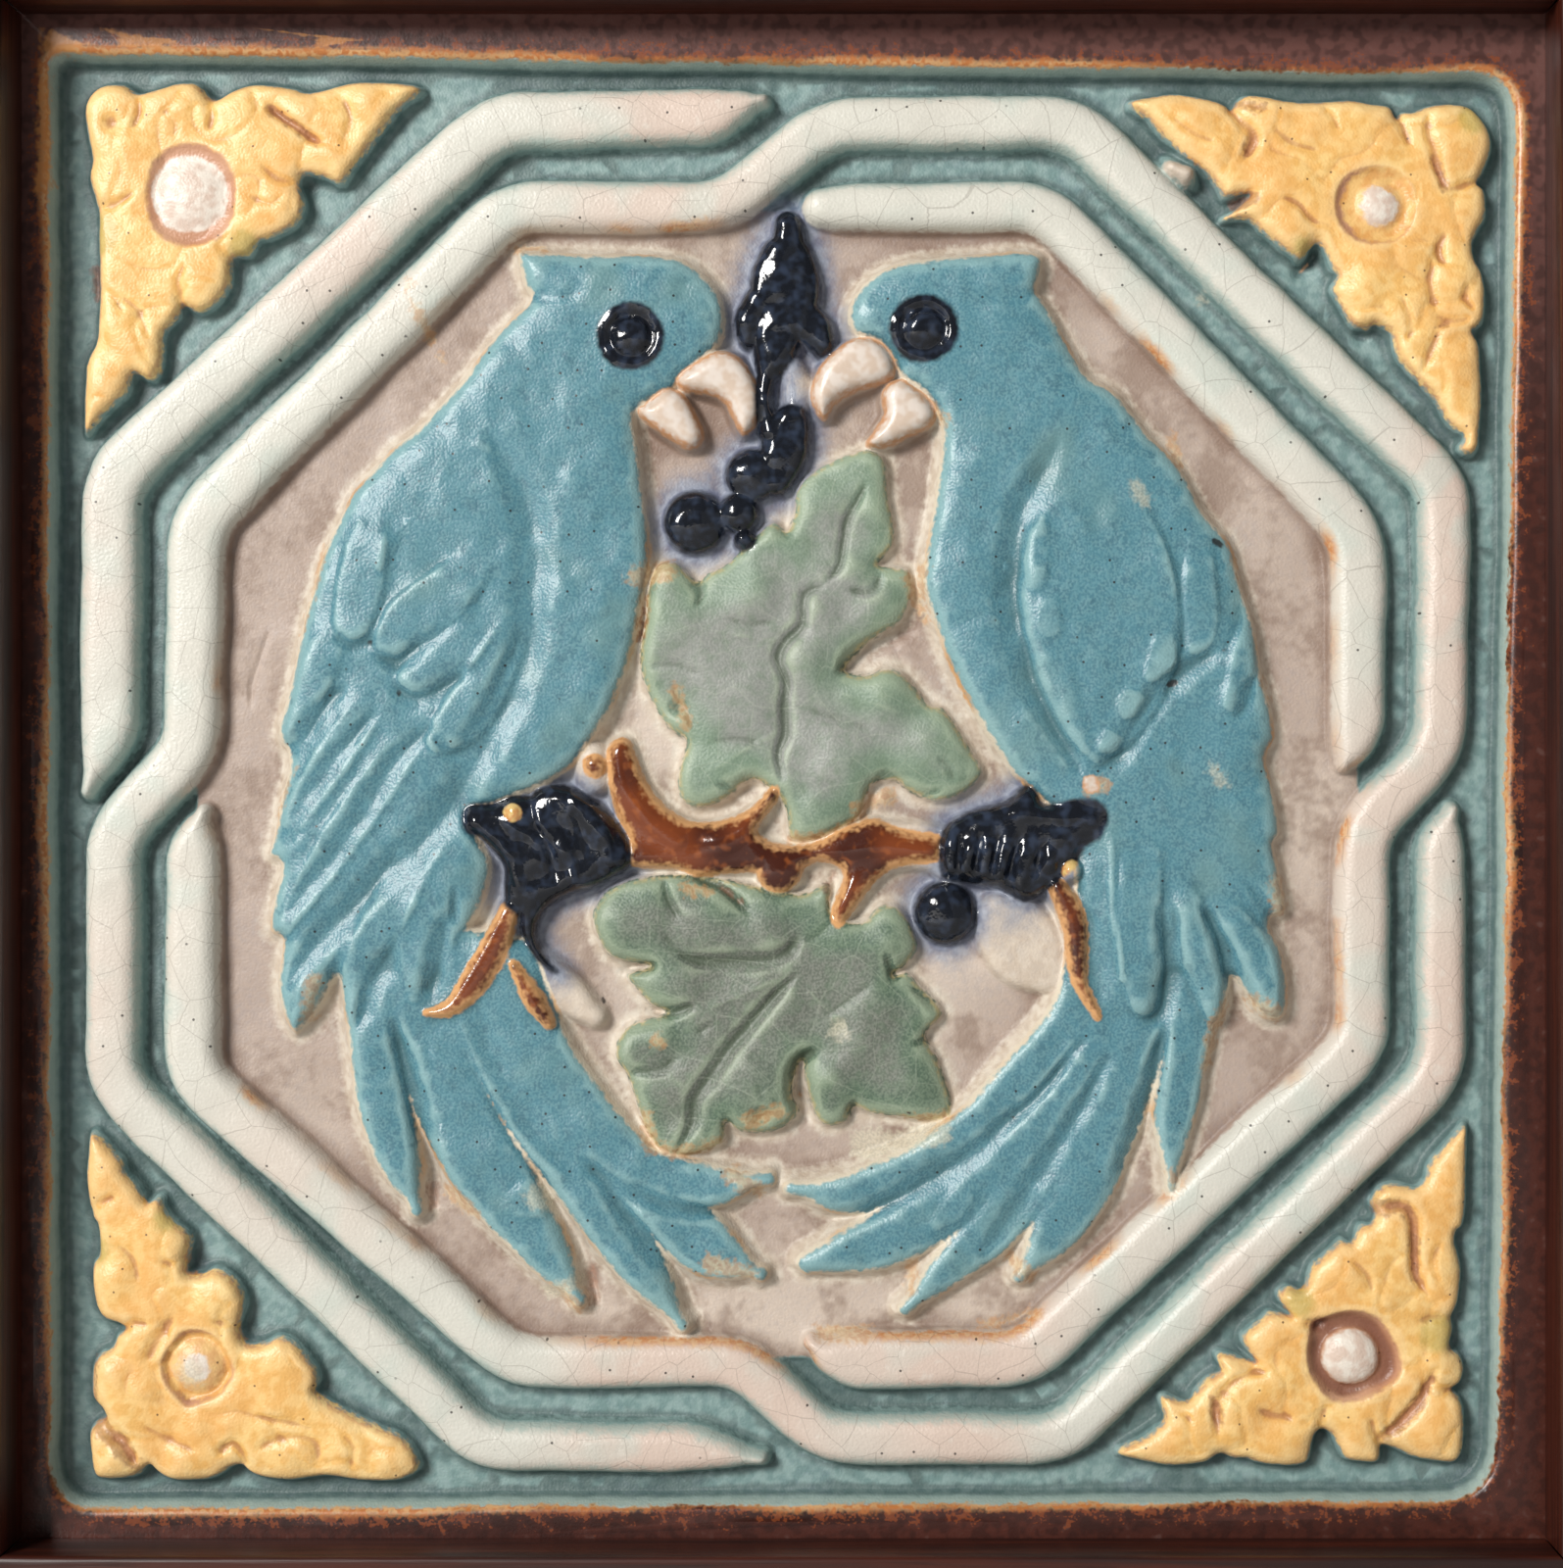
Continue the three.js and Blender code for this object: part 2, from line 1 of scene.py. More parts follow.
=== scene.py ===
"""A framed relief tile: two parrots among vine leaves inside interlaced octagonal straps.

The tile's relief is worked out as heights above its back on a fine grid, from the same drawing as the
solid, then turned into one closed mesh. The glazes follow signed distances kept on its vertices.
"""

import math

import bpy
import numpy as np
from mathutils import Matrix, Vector


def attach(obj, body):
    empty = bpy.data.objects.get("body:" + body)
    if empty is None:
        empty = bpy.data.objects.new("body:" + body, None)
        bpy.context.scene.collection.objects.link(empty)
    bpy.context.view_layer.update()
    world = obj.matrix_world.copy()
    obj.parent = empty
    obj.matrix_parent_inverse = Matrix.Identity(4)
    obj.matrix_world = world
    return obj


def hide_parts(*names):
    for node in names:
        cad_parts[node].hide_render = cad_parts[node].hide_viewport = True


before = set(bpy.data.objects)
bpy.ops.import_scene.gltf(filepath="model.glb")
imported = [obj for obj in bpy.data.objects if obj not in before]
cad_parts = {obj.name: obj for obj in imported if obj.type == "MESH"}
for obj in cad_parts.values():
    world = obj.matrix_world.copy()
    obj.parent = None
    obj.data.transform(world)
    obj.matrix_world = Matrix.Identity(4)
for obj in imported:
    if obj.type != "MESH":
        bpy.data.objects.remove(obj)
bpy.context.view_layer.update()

# Sizes in millimetres, as in the solid
TILE_SIDE = 304.8
TILE_THICKNESS = 19.0
CHANNEL_LEVEL = 13.2
FIELD_LEVEL = 14.0
MEMBER_WIDTH = 38.0
LIP_OVERLAP = 3.4
FRAME_DEPTH = 38.5
GROOVE_FLOOR = 6.0
FIT_GAP = 0.3
ARRIS = 1.2
ARRIS_STEPS = 4
MEMBER_CUTS = 48
FRAME_SIDE = TILE_SIDE - 2 * LIP_OVERLAP + 2 * MEMBER_WIDTH
TILE_BACK_Y = -(GROOVE_FLOOR + FIT_GAP)
CENTRE_Z = MEMBER_WIDTH / 2 - FRAME_SIDE / 2

# Heights above the tile's back in millimetres
STRAP_LEVEL = 18.9
FOLIAGE_LEVEL = 18.2
BOSS_LEVEL = 18.9
LEAF_LEVEL = 17.5
BIRD_LEVEL = 18.3
TAIL_STEP = 0.12  # from one tail feather down to the next
BEAK_LEVEL = 19.2
JAW_LEVEL = 18.9
EYE_LEVEL = 20.3
PUPIL_LEVEL = 20.6
BRANCH_LEVEL = 17.9
KNOT_LEVEL = 18.6
LUMP_LEVEL = 17.4
HIGH_LUMP_LEVEL = 19.4
STEM_LEVEL = 18.0
GRAPE_LEVEL = 18.9
FOOT_LEVEL = 19.1
CLAW_LEVEL = 19.5
BEAD_LEVEL = 20.6
HIGHEST = 20.9
GLAZED_FROM = 12.0

# The drawing's grid: x to the right, y down
UNITS = 1590.0  # across the tile
CENTRE = (799.5, 792.0)
UNIT = TILE_SIDE / UNITS
REACH = 30.0  # how far outside a form its distance is kept
CELLS = 960
FACES = 196000

step = UNITS / CELLS
across = CENTRE[0] - UNITS / 2 + step * np.arange(CELLS + 1)
down = CENTRE[1] - UNITS / 2 + step * np.arange(CELLS + 1)
GRID_X, GRID_Y = np.meshgrid(across, down)
frequency_y = np.fft.fftfreq(CELLS + 1)[:, None]
frequency_x = np.fft.rfftfreq(CELLS + 1)[None, :]


def soften(values, reach):
    """values blurred over about reach drawing units."""
    spread = reach / step
    weight = np.exp(-2 * (math.pi * spread) ** 2 * (frequency_x ** 2 + frequency_y ** 2))
    return np.fft.irfft2(np.fft.rfft2(values) * weight, s=values.shape)


def cloud(size, seed):
    """Seeded smooth noise, mostly from -1 to 1, with features about size units across."""
    made = soften(np.random.default_rng(seed).standard_normal(GRID_X.shape), size / 2.6)
    return made / (2 * made.std())


# A hand-cut mould has no true lines: every form is drawn on a slightly wandering grid
WARP_X = GRID_X + 1.2 * cloud(90, 1) + 0.7 * cloud(26, 2)
WARP_Y = GRID_Y + 1.2 * cloud(90, 3) + 0.7 * cloud(26, 4)


# ---------------------------------------------------------------- the drawing
# Outlines are x, y pairs, and RECESS adds the reach of each corner's rounding. Ribbons, grooves and
# lifts go through stations of x, y and half width, and grooves and lifts start with their depth or rise
# in mm. Puffs are x, y, radius and rise, bosses x, y, radius and their pit's depth, and all other round
# things x, y and radius.
RECESS = [(49, 54, 20), (1547, 76, 42), (1527, 1531, 60), (51, 1540, 48)]
STRAPS = [
    [(776, 1491, 3), (745, 1487, 15), (705, 1481, 24), (490, 1480, 25), (111, 1107, 28), (111, 848, 28),
     (193, 764, 29), (196, 531, 30), (517, 208, 27), (737, 208, 25), (846, 121, 27), (1098, 121, 27),
     (1476, 492, 27), (1475, 762, 26), (1394, 846, 28), (1393, 1066, 28), (1046, 1391, 29), (872, 1391, 29),
     (848, 1386, 20), (828, 1373, 5)],
    [(206, 829, 3), (199, 847, 16), (193, 872, 28), (192, 1098, 29), (522, 1393, 26), (757, 1393, 26),
     (842, 1472, 26), (1086, 1472, 25), (1473, 1096, 26), (1474, 870, 24), (1478, 846, 17), (1485, 825, 3)],
    [(777, 100, 4), (757, 105, 16), (722, 116, 28), (503, 119, 30), (109, 487, 31), (108, 742, 31),
     (99, 773, 19), (86, 806, 3)],
    [(838, 209, 20), (856, 209, 23), (872, 208, 24), (1067, 208, 26), (1389, 541, 29), (1389, 733, 28),
     (1383, 758, 22), (1373, 780, 9)],
]
STRAP_BEND = 34
FIELD = [(517, 208), (1067, 208), (1391, 541), (1393, 1066), (1046, 1391), (522, 1393), (193, 1098),
         (195, 531)]
FIELD_SCRATCH = [(0.6, [(270, 638, 3), (262, 665, 4), (252, 695, 4), (250, 722, 3)])]

EYE_RADIUS, EYE_RING, PUPIL_RADIUS = 34, 21, 17
LEFT_BIRD = {
    "outline": [
        (527, 258), (540, 256), (600, 257), (650, 256), (690, 262), (715, 277), (735, 300), (741, 325),
        (734, 352), (714, 371), (694, 386), (686, 397), (665, 406), (650, 416), (645, 428), (648, 450),
        (653, 480), (657, 510), (661, 545), (662, 580), (657, 605), (650, 640), (643, 670), (632, 700),
        (620, 730), (602, 757), (584, 780), (560, 798), (530, 812), (500, 822), (478, 832), (490, 862),
        (500, 885), (488, 925), (474, 955), (460, 985), (446, 1005), (436, 1020), (424, 1032), (410, 1028),
        (401, 1010), (395, 985), (385, 990), (376, 1018), (366, 1046), (356, 1056), (349, 1030), (344, 1000),
        (334, 1012), (322, 1035), (306, 1052), (298, 1055), (286, 1030), (283, 1000), (286, 960), (273, 951),
        (277, 915), (284, 882), (271, 873), (277, 850), (284, 812), (292, 775), (281, 748), (289, 720),
        (297, 685), (304, 650), (309, 625), (317, 600), (324, 575), (334, 550), (345, 528), (360, 500),
        (378, 480), (395, 460), (420, 440), (445, 415), (470, 385), (495, 350), (520, 325), (540, 305),
        (533, 285),
    ],
    "tail": [
        [(385, 960, 32), (384, 1050, 30), (392, 1130, 29), (408, 1190, 21), (425, 1236, 4)],
        [(430, 960, 40), (440, 1050, 42), (466, 1140, 42), (514, 1218, 38), (562, 1288, 22), (590, 1329, 4)],
        [(470, 980, 36), (505, 1060, 36), (550, 1140, 36), (604, 1218, 34), (655, 1295, 26), (697, 1354, 4)],
        [(500, 980, 34), (545, 1070, 34), (600, 1150, 34), (664, 1218, 34), (722, 1275, 30), (776, 1302, 5)],
        [(520, 985, 30), (560, 1075, 24), (600, 1140, 24), (650, 1190, 26), (712, 1212, 26), (783, 1204, 4)],
    ],
    "lifts": [
        (0.55, [(382, 515, 12), (374, 565, 24), (367, 610, 26), (361, 634, 22)]),
        (0.60, [(500, 560, 18), (455, 605, 28), (417, 636, 26), (399, 656, 17)]),
        (0.60, [(500, 625, 18), (462, 664, 26), (425, 690, 20)]),
        (0.60, [(530, 625, 14), (500, 688, 24), (470, 735, 26), (452, 752, 17)]),
        (0.45, [(345, 640, 16), (322, 690, 20), (300, 745, 12)]),
        (0.45, [(395, 700, 16), (345, 765, 22), (300, 835, 15)]),
        (0.50, [(430, 740, 16), (372, 820, 22), (318, 900, 18), (290, 945, 10)]),
        (0.35, [(450, 840, 18), (405, 915, 24), (360, 1000, 14), (356, 1040, 8)]),
        (0.35, [(455, 880, 18), (428, 960, 22), (424, 1010, 16)]),
        (0.30, [(404, 535, 7), (396, 560, 9), (388, 580, 5)]),
        (0.30, [(565, 1210, 10), (540, 1225, 20), (520, 1230, 10)]),
    ],
    "grooves": [
        (0.6, [(532, 300, 5), (560, 303, 7), (592, 300, 4)]),
        (1.7, [(502, 448, 6), (520, 480, 11), (536, 508, 14), (543, 550, 15), (542, 610, 15), (533, 672, 14),
               (512, 728, 13), (480, 784, 13), (450, 834, 13), (402, 885, 13), (352, 932, 11), (315, 975, 9),
               (294, 1008, 5)]),
        (1.2, [(352, 700, 4), (322, 728, 8), (300, 757, 9), (286, 772, 7)]),
        (1.3, [(382, 728, 4), (342, 775, 9), (315, 812, 10), (291, 846, 10), (273, 872, 8)]),
        (1.3, [(440, 742, 4), (412, 768, 8), (390, 797, 10), (366, 838, 10), (338, 878, 10), (310, 908, 10),
               (284, 944, 8)]),
        (0.9, [(344, 648, 5), (362, 662, 6), (382, 655, 5)]),
        (0.9, [(462, 636, 4), (430, 660, 7), (405, 678, 7), (385, 664, 5)]),
        (0.9, [(474, 682, 4), (446, 704, 7), (418, 712, 7), (402, 700, 5)]),
        (1.0, [(530, 650, 4), (508, 700, 8), (488, 738, 8), (462, 768, 7), (440, 748, 4)]),
        (1.2, [(345, 978, 4), (336, 1005, 8), (322, 1032, 8), (306, 1052, 5)]),
        (0.8, [(400, 960, 4), (390, 985, 8), (378, 1015, 8), (367, 1045, 5)]),
        (1.2, [(452, 935, 4), (446, 965, 8), (440, 995, 8), (434, 1018, 5)]),
        (0.6, [(463, 905, 3), (463, 942, 3)]),
        (2.2, [(400, 1046, 5), (413, 1085, 8), (424, 1122, 9), (430, 1155, 9), (435, 1190, 9), (436, 1228, 7)]),
        (1.0, [(482, 1030, 8), (507, 1080, 11), (533, 1132, 11), (560, 1172, 10), (598, 1198, 6)]),
        (1.5, [(596, 1186, 5), (625, 1210, 8), (652, 1223, 9), (682, 1233, 8), (712, 1238, 7), (742, 1240, 4)]),
        (1.4, [(545, 1190, 5), (565, 1230, 9), (582, 1268, 10), (598, 1300, 9), (602, 1330, 6)]),
        (1.6, [(618, 1216, 5), (642, 1248, 8), (664, 1278, 9), (686, 1306, 9), (706, 1342, 6)]),
        (0.5, [(690, 1255, 6), (715, 1285, 9), (735, 1300, 6)]),
    ],
    "beak": [(690, 388), (708, 371), (733, 358), (757, 365), (772, 390), (776, 415), (769, 435), (757, 444),
             (746, 426), (737, 409), (716, 401), (697, 398)],
    "jaw": [(647, 420), (660, 409), (677, 398), (695, 402), (709, 424), (717, 445), (711, 456), (699, 458),
            (684, 450), (664, 436)],
    "eye": (644, 343),
}
RIGHT_BIRD = {
    "outline": [
        (1063, 262), (1061, 280), (1058, 292), (1063, 302), (1075, 320), (1085, 340), (1100, 365), (1115, 385),
        (1140, 400), (1160, 425), (1180, 450), (1205, 475), (1230, 520), (1250, 545), (1262, 570), (1270, 600),
        (1280, 630), (1285, 660), (1290, 690), (1298, 720), (1302, 750), (1293, 771), (1299, 800), (1308, 848),
        (1301, 861), (1307, 890), (1314, 928), (1299, 936), (1298, 948), (1309, 970), (1315, 1000), (1313, 1033),
        (1301, 1043), (1285, 1036), (1270, 1015), (1258, 1000), (1254, 1018), (1248, 1036), (1238, 1047),
        (1224, 1044), (1213, 1020), (1205, 998), (1195, 1002), (1188, 1022), (1180, 1038), (1167, 1045),
        (1150, 1040), (1125, 1042), (1104, 1015), (1104, 970), (1098, 905), (1094, 870), (1073, 830),
        (1045, 800), (1030, 785), (1010, 755), (995, 730), (980, 700), (965, 670), (955, 640), (945, 610),
        (940, 590), (945, 560), (950, 530), (955, 500), (960, 470), (962, 440), (957, 422), (948, 406),
        (933, 393), (920, 384), (914, 370), (904, 355), (890, 345), (872, 340), (865, 322), (872, 300),
        (890, 280), (915, 268), (950, 262), (1000, 258), (1045, 255),
    ],
    "tail": [
        [(1130, 960, 36), (1095, 1040, 26), (1050, 1095, 26), (1000, 1150, 27), (940, 1192, 26),
         (870, 1220, 24), (806, 1214, 5)],
        [(1150, 980, 36), (1105, 1080, 32), (1050, 1155, 34), (980, 1220, 34), (900, 1268, 30), (824, 1292, 12)],
        [(1170, 980, 36), (1125, 1100, 34), (1072, 1185, 34), (1014, 1255, 28), (958, 1305, 18), (924, 1337, 4)],
        [(1190, 980, 36), (1160, 1080, 30), (1122, 1180, 32), (1080, 1255, 27), (1042, 1305, 5)],
        [(1222, 960, 34), (1216, 1020, 30), (1208, 1085, 26), (1199, 1145, 22), (1197, 1212, 4)],
    ],
    "lifts": [
        (0.75, [(1120, 505, 34), (1118, 580, 76), (1126, 650, 78), (1126, 715, 52), (1120, 775, 8)]),
        (0.45, [(1222, 535, 10), (1224, 590, 18), (1223, 640, 19), (1221, 656, 14)]),
        (0.45, [(1275, 625, 8), (1268, 675, 15), (1258, 716, 13)]),
        (0.30, [(1060, 520, 10), (1056, 560, 15), (1058, 592, 12)]),
        (0.25, [(1072, 600, 10), (1070, 640, 13)]),
        (0.25, [(1078, 665, 9), (1092, 715, 10), (1108, 765, 6)]),
        (0.45, [(1186, 640, 10), (1183, 672, 14), (1176, 688, 10)]),
        (0.45, [(1160, 705, 14), (1153, 722, 14)]),
        (0.40, [(1140, 745, 12), (1132, 760, 12)]),
        (0.60, [(1130, 836, 4), (1134, 870, 6), (1135, 905, 6), (1138, 945, 5), (1144, 1000, 4)]),
        (0.65, [(1163, 850, 20), (1164, 930, 24), (1166, 995, 23), (1168, 1020, 18)]),
        (0.60, [(1200, 880, 8), (1220, 945, 18), (1230, 1000, 19), (1238, 1036, 8)]),
        (0.50, [(1228, 905, 10), (1266, 948, 18), (1288, 990, 19), (1294, 1024, 12)]),
        (0.30, [(1000, 1195, 10), (975, 1232, 14), (955, 1252, 8)]),
    ],
    "grooves": [
        (0.6, [(1064, 294, 5), (1035, 302, 7), (1000, 300, 4)]),
        (1.6, [(1080, 450, 5), (1064, 478, 10), (1047, 508, 12), (1037, 540, 12), (1032, 580, 12),
               (1033, 620, 12), (1039, 655, 12), (1050, 690, 11), (1065, 722, 10), (1082, 752, 8),
               (1100, 784, 5)]),
        (1.4, [(1118, 782, 6), (1143, 768, 9), (1160, 742, 10), (1177, 715, 10), (1196, 695, 11),
               (1215, 680, 8), (1243, 663, 7)]),
        (0.5, [(1247, 662, 5), (1262, 640, 5), (1264, 610, 4)]),
        (0.9, [(1280, 690, 4), (1270, 712, 7), (1264, 733, 5)]),
        (0.35, [(965, 640, 5), (990, 632, 6), (1015, 622, 6), (1022, 598, 5)]),
        (1.5, [(1184, 925, 4), (1190, 970, 8), (1191, 1000, 9), (1184, 1030, 9), (1166, 1048, 7)]),
        (1.6, [(1228, 925, 4), (1247, 965, 8), (1258, 1003, 9)]),
        (0.9, [(1110, 925, 4), (1116, 965, 9), (1119, 1000, 9), (1126, 1024, 6)]),
        (0.6, [(1200, 930, 4), (1199, 970, 6), (1203, 1000, 6)]),
        (0.8, [(1275, 905, 3), (1296, 925, 6), (1302, 938, 5)]),
        (1.5, [(1105, 1062, 4), (1060, 1118, 5), (1024, 1150, 7), (1000, 1175, 9), (965, 1196, 10),
               (925, 1218, 10), (885, 1239, 9), (842, 1249, 7), (820, 1243, 4)]),
        (1.3, [(1130, 1078, 4), (1110, 1120, 7), (1088, 1155, 8), (1065, 1192, 9), (1045, 1226, 10),
               (1022, 1258, 9), (1005, 1280, 6)]),
        (1.9, [(1188, 1050, 4), (1176, 1100, 8), (1166, 1140, 10), (1152, 1180, 10), (1138, 1206, 7)]),
    ],
    "beak": [(912, 368), (903, 354), (890, 345), (870, 345), (850, 359), (835, 375), (828, 395), (829, 412),
             (840, 427), (851, 411), (870, 398), (895, 391), (912, 382)],
    "jaw": [(920, 385), (936, 395), (950, 409), (955, 424), (945, 436), (925, 446), (905, 455), (885, 453),
            (894, 436), (903, 420), (900, 405), (905, 392)],
    "eye": (943, 335),
}

LEAVES = [
    {
        "outline": [
            (890, 458), (905, 470), (907, 500), (912, 530), (910, 555), (895, 575), (925, 580), (930, 605),
            (920, 632), (898, 645), (880, 658), (862, 684), (885, 688), (905, 680), (925, 690), (945, 718),
            (960, 722), (975, 740), (990, 765), (1003, 790), (980, 812), (955, 817), (930, 808), (915, 797),
            (890, 802), (875, 835), (840, 855), (808, 858), (803, 845), (800, 825), (788, 808), (766, 796),
            (740, 815), (712, 824), (694, 815), (690, 790), (700, 757), (684, 745), (668, 722), (657, 698),
            (652, 668), (658, 630), (660, 600), (670, 577), (690, 575), (710, 592), (725, 583), (740, 575),
            (755, 560), (770, 545), (788, 531), (803, 540), (812, 520), (812, 500), (830, 480), (850, 468),
            (875, 458),
        ],
        "grooves": [
            (0.9, [(884, 492, 3), (875, 512, 5), (865, 530, 6), (860, 555, 6), (856, 577, 5), (844, 592, 3)]),
            (1.1, [(838, 598, 4), (821, 606, 7), (818, 636, 7), (803, 652, 8), (794, 670, 8), (801, 695, 7),
                   (799, 720, 7), (799, 750, 7), (793, 765, 6), (797, 795, 4)]),
            (0.8, [(897, 585, 5), (892, 600, 6), (883, 604, 6), (866, 601, 4)]),
            (1.5, [(930, 640, 8), (899, 655, 11), (871, 671, 11), (855, 688, 6)]),
            (0.5, [(824, 724, 6), (860, 733, 8), (886, 742, 5)]),
            (0.5, [(743, 630, 4), (764, 637, 6), (786, 633, 4)]),
            (0.9, [(710, 590, 9), (716, 606, 6), (712, 618, 3)]),
            (0.9, [(766, 798, 12), (750, 806, 9), (732, 800, 4)]),
            (0.6, [(686, 698, 3), (698, 720, 5), (708, 744, 4)]),
            (0.5, [(960, 774, 3), (970, 783, 5), (974, 796, 3)]),
            (0.6, [(923, 804, 4), (940, 812, 5), (962, 806, 3)]),
            (0.6, [(895, 800, 6), (905, 790, 5), (920, 800, 4)]),
            (0.4, [(724, 757, 4), (757, 754, 5), (775, 760, 4)]),
            (0.4, [(661, 682, 4), (694, 679, 5), (714, 688, 4)]),
            (0.4, [(905, 645, 3), (930, 690, 5), (955, 715, 4)]),
        ],
        "puffs": [(772, 606, 30, 0.5), (821, 672, 28, 0.5), (832, 622, 22, 0.4), (838, 520, 38, 0.4),
                  (700, 630, 40, 0.35), (760, 700, 50, 0.3), (860, 770, 46, 0.5), (905, 705, 34, 0.5),
                  (955, 765, 40, 0.5), (740, 785, 36, 0.4), (835, 830, 28, 0.4), (890, 520, 22, 0.3),
                  (870, 580, 22, 0.3), (690, 722, 12, -0.5), (890, 620, 30, 0.3)],
        "veins": [[(800, 655, 3), (700, 640, 1)], [(803, 740, 3), (720, 790, 1)],
        [(835, 700, 2), (935, 730, 1)]],
    },
    {
        "outline": [
            (603, 940), (610, 920), (625, 906), (660, 895), (710, 893), (765, 903), (815, 913), (845, 902),
            (850, 930), (880, 942), (898, 925), (920, 928), (938, 962), (930, 982), (914, 996), (926, 994),
            (942, 1010), (963, 1035), (946, 1054), (948, 1066), (957, 1082), (968, 1118), (970, 1142),
            (940, 1144), (905, 1139), (888, 1136), (872, 1130), (864, 1142), (850, 1149), (836, 1145),
            (826, 1122), (818, 1085), (812, 1100), (808, 1120), (815, 1135), (800, 1152), (778, 1159),
            (752, 1157), (740, 1148), (737, 1168), (715, 1178), (680, 1182), (664, 1165), (650, 1135),
            (640, 1100), (627, 1082), (630, 1062), (645, 1046), (680, 1036), (664, 1026), (648, 1008),
            (641, 996), (662, 988), (640, 982), (618, 974),
        ],
        "grooves": [
            (1.2, [(697, 976, 4), (712, 980, 8), (745, 981, 10), (786, 979, 10), (806, 972, 8), (816, 956, 5)]),
            (0.5, [(678, 955, 4), (690, 968, 6), (702, 978, 5)]),
            (1.3, [(812, 996, 3), (797, 1010, 6), (784, 1024, 8), (768, 1043, 9), (752, 1060, 9),
                   (736, 1084, 10), (722, 1104, 10), (709, 1122, 9), (706, 1146, 8), (698, 1164, 6),
                   (690, 1178, 4)]),
            (2.0, [(832, 1072, 5), (821, 1078, 9), (811, 1096, 10), (815, 1120, 11), (822, 1142, 10)]),
            (0.8, [(873, 1126, 4), (866, 1138, 7)]),
            (1.2, [(637, 991, 5), (655, 989, 6), (668, 985, 4)]),
            (1.2, [(664, 1032, 6), (690, 1034, 8), (707, 1026, 4)]),
            (0.7, [(640, 1095, 5), (676, 1092, 7), (688, 1082, 4)]),
            (0.5, [(712, 1056, 4), (726, 1046, 4)]),
            (1.0, [(906, 976, 4), (913, 995, 6), (924, 996, 5)]),
            (0.7, [(932, 1008, 3), (946, 1020, 5), (957, 1034, 4)]),
            (0.8, [(934, 1066, 4), (956, 1061, 6)]),
            (1.3, [(709, 896, 4), (733, 905, 6), (750, 917, 7), (762, 930, 4)]),
            (0.8, [(676, 898, 4), (680, 918, 5), (693, 936, 4)]),
            (0.4, [(775, 1106, 4), (777, 1124, 4)]),
            (0.4, [(842, 1038, 4), (868, 1020, 5), (890, 1004, 4)]),
            (0.4, [(850, 940, 4), (835, 955, 5), (822, 960, 4)]),
        ],
        "puffs": [(640, 940, 40, 0.5), (720, 940, 44, 0.5), (780, 955, 30, 0.3), (690, 1010, 34, 0.4),
                  (672, 1062, 24, 0.5), (690, 1110, 34, 0.4), (770, 1110, 44, 0.6), (905, 955, 32, 0.5),
                  (900, 1020, 40, 0.3), (850, 1100, 26, 0.5), (925, 1100, 44, 0.4), (880, 1060, 40, 0.2),
                  (775, 1142, 15, -0.5), (857, 1049, 13, -0.2), (700, 1160, 24, 0.3)],
        "veins": [[(816, 998, 3), (830, 1016, 3), (852, 1038, 2)], [(700, 1040, 2), (790, 1000, 2)]],
    },
]
BRANCH = [
    (618, 765), (630, 753), (642, 757), (648, 775), (656, 795), (672, 817), (692, 833), (712, 840), (735, 838),
    (757, 830), (775, 816), (788, 802), (794, 812), (783, 830), (771, 848), (785, 860), (810, 864), (832, 860),
    (852, 850), (872, 842), (893, 836), (910, 843), (935, 849), (961, 853), (963, 868), (956, 881), (925, 884),
    (905, 890), (890, 904), (876, 925), (864, 944), (855, 950), (848, 938), (850, 922), (858, 906), (860, 890),
    (846, 882), (832, 880), (815, 888), (795, 892), (765, 890), (738, 892), (710, 895), (685, 887), (643, 884),
    (641, 856), (630, 836), (622, 815), (618, 790),
]
BRANCH_LIFTS = [
    (0.5, [(630, 770, 5), (636, 800, 7), (660, 835, 9), (690, 858, 10)]),
    (0.5, [(700, 866, 10), (740, 862, 11), (775, 838, 5)]),
    (0.5, [(850, 872, 6), (885, 866, 9), (930, 868, 9), (955, 868, 6)]),
    (0.4, [(872, 892, 6), (858, 930, 5)]),
]
KNOTS = {"wood": [(606, 781, 12), (795, 888, 23)], "beak": [(1112, 801, 8)]}
WING_BUMPS = [(900, 816, 18, 1.2), (1191, 678, 15, 0.5), (1152, 717, 13, 0.45), (1068, 622, 13, 0.4),
              (1058, 585, 13, 0.4)]
LEFT_FOOT = [
    (470, 834), (478, 822), (500, 820), (520, 811), (540, 811), (547, 804), (562, 800), (582, 803), (602, 813),
    (620, 830), (632, 845), (641, 862), (641, 884), (625, 896), (604, 906), (580, 913), (560, 923), (549, 936),
    (545, 952), (553, 974), (570, 994), (556, 989), (541, 972), (529, 950), (526, 932), (513, 922), (512, 900),
    (510, 882), (488, 856), (474, 850),
]
RIGHT_FOOT = [
    (959, 862), (966, 843), (990, 829), (1028, 818), (1045, 803), (1056, 808), (1066, 822), (1098, 817),
    (1120, 819), (1130, 834), (1121, 856), (1106, 864), (1096, 884), (1072, 906), (1046, 920), (1020, 906),
    (985, 901), (962, 895),
]
